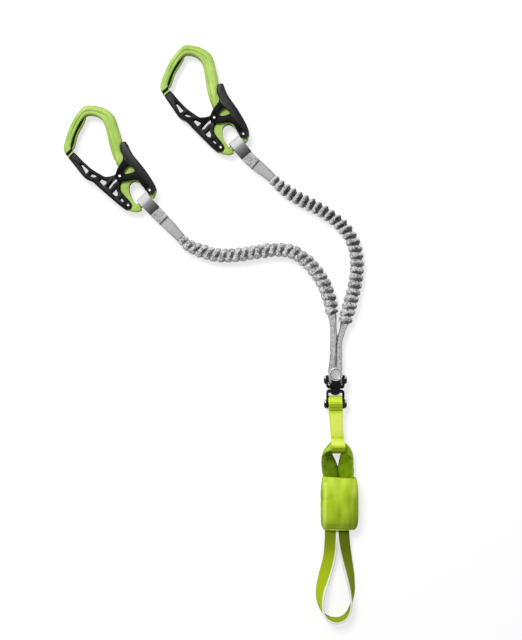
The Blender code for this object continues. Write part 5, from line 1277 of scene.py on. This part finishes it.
def makeAbsorberLoop():
    rows = absorberLegs["left"][::-1] + absorberLegs["right"][1:]
    crown = Vector(absorber["crown"])
    points = [crown + Vector((x * mm, y * mm, 0)) for x, y, wide, thick in rows]
    ways = headings(points)
    length = routeLength(points)
    widest, thickest = absorber["widest"], absorber["thickest"]
    stations = []
    for point, way, (x, y, wide, thick) in zip(points, ways, rows):
        side = Vector((-way.y, way.x, 0))
        stations.append((point, side, Vector((0, 0, 1)), wide / widest, thick / thickest))
    strap = flatBand("absorberLoop", length, widest * mm, thickest * mm, *absorber["grid"])
    for vertex in strap.data.vertices:  # a fold down the middle and rolled edges
        share = vertex.co.y / (widest / 2 * mm)
        vertex.co.z *= 1.0 - 0.25 * share * share
        if vertex.co.z > 0:
            vertex.co.z -= absorber["grooveDepth"] * math.exp(-((share + 0.25) / 0.16) ** 2)
    crownAt = routeLength(points[:len(absorberLegs["left"])])

    def strapSpot(x, y):  # share across, way from the crown in mm, way past the shoulder's fold, left or not
        share, fromCrown = y / (widest / 2 * mm), abs(x - crownAt) / mm
        return share, fromCrown, fromCrown - absorber["shoulder"] - 4.5 * share, x < crownAt

    def shadow(x, y):  # darker towards the opening and on the left leg, paler along the outer shoulders
        share, fromCrown, edge, left = strapSpot(x, y)
        rim = min(1.0, max(0.0, (share - 0.1) / 0.6)) * max(0.0, 1 - fromCrown / 26) * (0.4 if left else 0.3)
        streak = 0.2 * noise.noise(Vector((x / (6 * mm), share * 1.6, 3.3)))
        inner = math.exp(-((fromCrown - 16.0) / 7.0) ** 2) * min(1.0, max(0.0, (0.55 - share) / 0.7))
        fold = (0.3 if left else 0.15) * math.exp(-((edge - 1.0) / 1.5) ** 2)
        fold += (0.7 if left else 0.25) * inner
        leg = (0.62 if left else 0.32) * (1 - rim) + streak + fold + 0.3 * max(0.0, -share) ** 3
        return leg if edge > 0 else leg * (1 - min(1.0, -edge) * (0.9 if left else 0.35))

    def shoulder(x, y):  # painted highlight: pale over the left shoulder, and a pale edge down both legs
        share, fromCrown, edge, left = strapSpot(x, y)
        inside = min(1.0, max(0.0, (0.95 - abs(share)) / 0.3))
        lit = min(1.0, max(0.0, -edge)) * (0.95 if left else 0.12) * inside
        return max(lit, 0.55 * math.exp(-((share - 0.9) / 0.08) ** 2) * (fromCrown > 12))

    shadeFolds(strap, shadow)
    shadeFolds(strap, shoulder, "patch")
    layAlong(strap, stations, length)
    crumpled(strap, *absorber["crumple"], 6.0)
    crumpled(strap, *absorber["fineCrumple"], 8.0)
    finishPiece(strap, "absorber", "dark_green_webbing", darkGreenWebbing, "absorber_loop", smoothAt=60)


makeAbsorberLoop()
print("absorber loop folded")


# Tie-in loop: flat in the pouch, on its edge round the end

tieIn = {"width": 12.8 * mm, "thickness": 2.0 * mm, "foot": 0.1 * mm, "lift": 9.0 * mm,
         "centre": (124.8, -242.4), "grid": (220, 12, 0.5 * mm), "crumple": (16.0 * mm, 0.35 * mm)}
tieInRoute = [
    (-4.9, 57.0), (-4.9, 46.0), (-5.1, 36.0), (-5.6, 26.0), (-7.2, 15.0), (-10.0, 4.0), (-12.6, -5.0),
    (-14.8, -13.0), (-15.6, -20.0), (-15.4, -26.0), (-14.2, -32.0), (-11.6, -37.6), (-7.6, -41.6),
    (-2.6, -43.6), (2.8, -43.8), (8.0, -41.6), (12.0, -37.2), (14.6, -31.0), (15.8, -24.0), (16.1, -16.0),
    (15.4, -8.0), (14.0, 1.0), (12.0, 11.0), (9.8, 22.0), (7.9, 33.0), (6.8, 44.0), (6.6, 57.0),
]
tieInTilts = [0, 4, 8, 12, 16, 20, 30, 44, 54, 64, 76, 88, 97, 103, 104, 102, 97, 91, 80, 66, 56, 46, 38, 28,
              20, 10, 0]
tieInShade = [(0.0, 0.75), (0.06, 0.6), (0.2, 0.12), (0.4, 0.0), (0.52, 0.28), (0.6, 0.45), (0.75, 0.55),
              (0.9, 0.8), (1.0, 0.95)]


def makeTieIn():
    centre = Vector(tieIn["centre"])
    flat = [(centre + Vector(point)) * mm for point in tieInRoute]
    rows = []
    for place, way, degrees, point in zip(flat, headings(flat), tieInTilts, tieInRoute):
        tilt = math.radians(degrees)
        across = Vector((-way.y * math.cos(tilt), way.x * math.cos(tilt), math.sin(tilt)))
        rest = abs(math.sin(tilt)) * tieIn["width"] / 2 + abs(math.cos(tilt)) * tieIn["thickness"] / 2
        rest += tieIn["foot"]
        rise = min(max((point[1] - 4.0) / 42.0, 0.0), 1.0)
        height = rest + (tieIn["lift"] - rest) * rise * rise * (3 - 2 * rise)
        rows.append((Vector((*place, height)), across))
    route = smoothRoute([row[0] for row in rows], 1.0 * mm)
    reach = reaches([row[0] for row in rows])
    last = len(rows) - 2

    def across(share, way, place):
        goal = share * reach[-1]
        k = next((n for n in range(last + 1) if reach[n + 1] >= goal), last)
        t = (goal - reach[k]) / max(reach[k + 1] - reach[k], 1e-9)
        return rows[k][1].lerp(rows[k + 1][1], t)

    length = routeLength(route)
    band = flatBand("tieInLoop", length, tieIn["width"], tieIn["thickness"], *tieIn["grid"])
    for vertex in band.data.vertices:
        vertex.co.z *= 1.0 - 0.3 * (vertex.co.y / (tieIn["width"] / 2)) ** 4
    shadeFolds(band, lambda x, y: blendAt(tieInShade, x / length))
    shadeFolds(band, lambda x, y: math.exp(-((x / length - 0.53) / 0.11) ** 4), "patch")
    layAlong(band, stationsOn(route, across), length)
    crumpled(band, *tieIn["crumple"], 3.0)
    finishPiece(band, "absorber", "tie_in_webbing", tieInWebbing, "tie_in_loop", smoothAt=60)


makeTieIn()
print("tie-in loop laid")


# Pouch: a padded sleeve, swollen by a short cloth simulation, with hemmed mouths

pouchLook = {"centre": (128.1, -168.3), "length": 52.3, "width": 38.0, "thickness": 20.6, "dip": 0.5,
             "voxel": 1.5 * mm, "pressure": 5.0, "cap": 1.6 * mm, "frames": 20, "mouthDepth": 8.0 * mm,
             "hemWidth": 1.6 * mm, "hemThickness": 0.6 * mm, "square": 0.72, "mouthInset": 2.4 * mm,
             "rise": 0.3 * mm, "slant": 0.9 * mm, "seamAt": 4.4 * mm, "seamDepth": 0.2 * mm,
             "creaseDepth": 0.75 * mm, "slantedCrease": 0.55 * mm, "groundGap": 0.25 * mm, "fill": 0.55,
             "hemGrid": (110, 4, 0.25 * mm),
             "cuts": (0.03, 0.08, 0.15, 0.25, 0.37, 0.5, 0.63, 0.75, 0.85, 0.92, 0.97)}
pouchCloth = {"quality": 5, "mass": 0.05, "tension_stiffness": 15, "compression_stiffness": 15,
              "bending_stiffness": 0.5, "use_pressure": True, "uniform_pressure_force": pouchLook["pressure"],
              "vertex_group_mass": "held"}
pouchSections = [  # share along from the top, width share, depth share, height share of the middle
    (0.0, 0.875, 0.58, 0.38), (0.02, 0.905, 0.66, 0.41), (0.08, 0.94, 0.78, 0.44), (0.2, 0.98, 0.94, 0.49),
    (0.42, 1.0, 1.0, 0.5), (0.66, 1.0, 0.98, 0.5), (0.84, 0.975, 0.86, 0.46), (0.93, 0.945, 0.72, 0.42),
    (0.97, 0.90, 0.62, 0.4), (1.0, 0.82, 0.52, 0.39),
]


def pouchSection(share):
    return [blendAt([(row[0], row[k]) for row in pouchSections], share) for k in (1, 2, 3)]


def squared(turn):  # a round section's x and z, pushed out towards a pillow's
    parts = (math.cos(turn), math.sin(turn))
    return [math.copysign(abs(part) ** pouchLook["square"], part) for part in parts]


def makePouchFabric():
    surface, tree, shader = startMaterial("pouchFabric", 0.7, 0.0, sheen=0.06, specular=0.2)
    where = objectMap(tree)
    woven = placed(tree, wovenGroup, where, Pitch=0.00055, Float_Length=0.0011)
    cloud = placed(tree, cloudGroup, where, Scale=45.0, Low=0.3, High=0.7)
    fibres = placed(tree, grainGroup, where, Scale=3000.0)
    tone = wovenTone(tree, woven, cloud, fibres, (0.4, 0.4, 0.3))
    base = addMix(tree, tone, (0.34, 0.50, 0.010), (0.50, 0.68, 0.018))
    # painted highlight from the patch attribute, then painted shade from the fold attribute
    base = addMix(tree, attributeValue(tree, "patch"), base, (0.66, 0.85, 0.11))
    base = darkened((0.10, 0.17, 0.002), 1.0, False)(tree, base, where)
    tree.links.new(base, shader.inputs["Base Color"])
    height = plus(tree, woven.outputs["Height"], times(tree, fibres.outputs["Height"], 0.4))
    attachBump(tree, shader, height, 0.00015, 0.6)
    return surface


pouchFabric = makePouchFabric()


def makePouch():
    length, width, thick = (pouchLook[key] * mm for key in ("length", "width", "thickness"))
    middle = Vector((pouchLook["centre"][0] * mm, pouchLook["centre"][1] * mm, 0))
    deselectAll()
    bpy.ops.mesh.primitive_cylinder_add(vertices=32, radius=0.5, depth=1.0, location=(0, 0, 0),
                                        rotation=(math.pi / 2, 0, 0), end_fill_type="NGON")
    pouch = named("pouchBody")
    bpy.ops.object.transform_apply(location=False, rotation=True, scale=False)
    editing(pouch)
    bpy.ops.transform.resize(value=(width, length, thick), center_override=(0, 0, 0))
    for share in pouchLook["cuts"]:
        bpy.ops.mesh.select_all(action="SELECT")
        bpy.ops.mesh.bisect(plane_co=(0, length / 2 - share * length, 0), plane_no=(0, 1, 0))
    editingDone()
    for sign in (1, -1):  # the mouths, pressed in between the two faces
        end, inwards = sign * length / 2, (0, -sign * pouchLook["mouthDepth"], 0)
        pickFaces(pouch, lambda face: face.normal.y * sign > 0.9 and abs(face.center.y - end) < 0.0001)
        bpy.ops.mesh.inset(thickness=pouchLook["mouthInset"], depth=0)
        bpy.ops.mesh.extrude_region_move(TRANSFORM_OT_translate={"value": inwards})
        editingDone()
    for vertex in pouch.data.vertices:  # the section goes from round to pillow, station by station
        x, y, z = vertex.co
        share = min(max((length / 2 - y) / length, 0.0), 1.0)
        wide, deep, lift = pouchSection(share)
        squareX, squareZ = squared(math.atan2(z / thick, x / width))
        around = math.hypot(x / width, z / thick) * 2
        high = (thick + pouchLook["dip"] * mm) * lift + pouchLook["rise"]
        slant = pouchLook["slant"] * squareX * max(0.0, 1 - share * 4) ** 2  # the top edge falls to the right
        vertex.co = middle + Vector((squareX * around * width / 2 * wide, y - slant,
                                     max(high + squareZ * around * thick / 2 * deep, 0.5 * mm)))
    applyModifier(pouch, "REMESH", mode="VOXEL", voxel_size=pouchLook["voxel"])
    swell(pouch, middle, length)
    for vertex in pouch.data.vertices:  # it lies on its flat underside, and its soft face creases a little
        x, y, z = vertex.co - middle
        share = min(max((length / 2 - y) / length, 0.0), 1.0)
        top = max(0.0, vertex.normal.z)
        crease = pouchLook["creaseDepth"] * noise.noise(Vector((x / (7 * mm), y / (18 * mm), 1.3)))
        if x < 5 * mm:  # one slanted crease on the left
            near = math.exp(-((y - (0.30 * x) - 9 * mm) / (1.6 * mm)) ** 2)
            crease -= pouchLook["slantedCrease"] * near * max(0.0, 1 - (x + 9 * mm) / (14 * mm))
        for row in (pouchLook["seamAt"], length - pouchLook["seamAt"]):  # the channels behind the hems
            crease -= pouchLook["seamDepth"] * math.exp(-((length / 2 - y - row) / (0.8 * mm)) ** 2)
        vertex.co += vertex.normal * crease * (0.35 + 0.65 * top)
        vertex.co.z = max(vertex.co.z, pouchLook["groundGap"])
    applyModifier(pouch, "SUBSURF", levels=1, render_levels=1)
    fold, patch = pointValues(pouch, "fold", "patch")
    for vertex in pouch.data.vertices:  # painted shade at the lower end and on the right, painted highlight at the upper left
        x, y, z = (vertex.co - middle) / mm
        folds = noise.noise(Vector((x / 4.5, y / 17, 2.1)))
        dark = 0.42 * max(0.0, (6 - y + 0.5 * x) / 28) + 0.12 * max(0.0, (x - 3) / 14) + 0.3 * folds
        dark += 0.4 * math.exp(-((x + 17.6) / 1.0) ** 2)
        fold[vertex.index].value = min(0.85, max(0.0, dark))
        pale = 0.65 * math.exp(-((x + 14.9 - 0.03 * y) / 2.0) ** 2) * (y < 22)
        pale += 0.75 * math.exp(-((x - 12.5) / 3.0) ** 2 - ((y - 13) / 7.0) ** 2)
        pale += 0.5 * max(0.0, (y - 4) / 20) * math.exp(-((x + 4) / 12) ** 2) - 0.3 * folds
        patch[vertex.index].value = min(1.0, max(0.0, pale))
    finishPiece(pouch, "absorber", "green_fabric", pouchFabric, "pouch", "absorber_pack", smoothAt=60)
    makeHem("pouchTopHem", middle, length, width, thick, 0.0, 1)
    makeHem("pouchLowHem", middle, length, width, thick, 1.0, -1)


def swell(pouch, middle, length):
    before = [vertex.co.copy() for vertex in pouch.data.vertices]
    held = pouch.vertex_groups.new(name="held")
    for vertex in pouch.data.vertices:
        fromEnd = length / 2 - abs(vertex.co.y - middle.y)
        inMouth = fromEnd < pouchLook["mouthDepth"] + 2 * mm and abs(vertex.normal.y) > 0.6
        weight = 1.0 if fromEnd < 2.5 * mm or inMouth else 0.0
        held.add([vertex.index], weight, "REPLACE")
    takeUp(pouch)
    cloth = pouch.modifiers.new("cloth", "CLOTH")
    for name, value in pouchCloth.items():
        setattr(cloth.settings, name, value)
    cloth.settings.effector_weights.gravity = 0
    cloth.point_cache.frame_start = 1
    cloth.point_cache.frame_end = pouchLook["frames"]
    for step in range(1, pouchLook["frames"] + 1):
        bpy.context.scene.frame_set(step)
    bpy.ops.object.modifier_apply(modifier="cloth")
    bpy.context.scene.frame_set(1)
    furthest = 0.0
    for vertex, start in zip(pouch.data.vertices, before):
        move = vertex.co - start
        furthest = max(furthest, move.length)
        if move.length > pouchLook["cap"]:
            vertex.co = start + move.normalized() * pouchLook["cap"]
    pouch.vertex_groups.clear()
    print("pouch swelled, largest move", round(furthest / mm, 2), "mm before the cap")


def makeHem(name, middle, length, width, thick, at, sign):
    wide, deep, lift = pouchSection(at)
    high = (thick + pouchLook["dip"] * mm) * lift + pouchLook["rise"]
    hemY = middle.y + length / 2 - at * length - sign * pouchLook["hemWidth"] * 0.42
    points = []
    for k in range(49):
        squareX, squareZ = squared(2 * math.pi * k / 48)
        slant = pouchLook["slant"] * squareX if at == 0.0 else 0.0
        points.append(Vector((middle.x + squareX * (width / 2 * wide + 0.05 * mm), hemY - slant,
                              max(high + squareZ * (thick / 2 * deep + 0.15 * mm), 0.55 * mm))))
    route = smoothRoute(points, 1.0 * mm)
    total = routeLength(route)
    hem = flatBand(name, total, pouchLook["hemWidth"], pouchLook["hemThickness"], *pouchLook["hemGrid"])
    layAlong(hem, stationsOn(route, lambda share, way, place: Vector((0, 1, 0))), total)
    finishPiece(hem, "absorber", "green_fabric", pouchFabric, smoothAt=50)


makePouch()
print("pouch made")
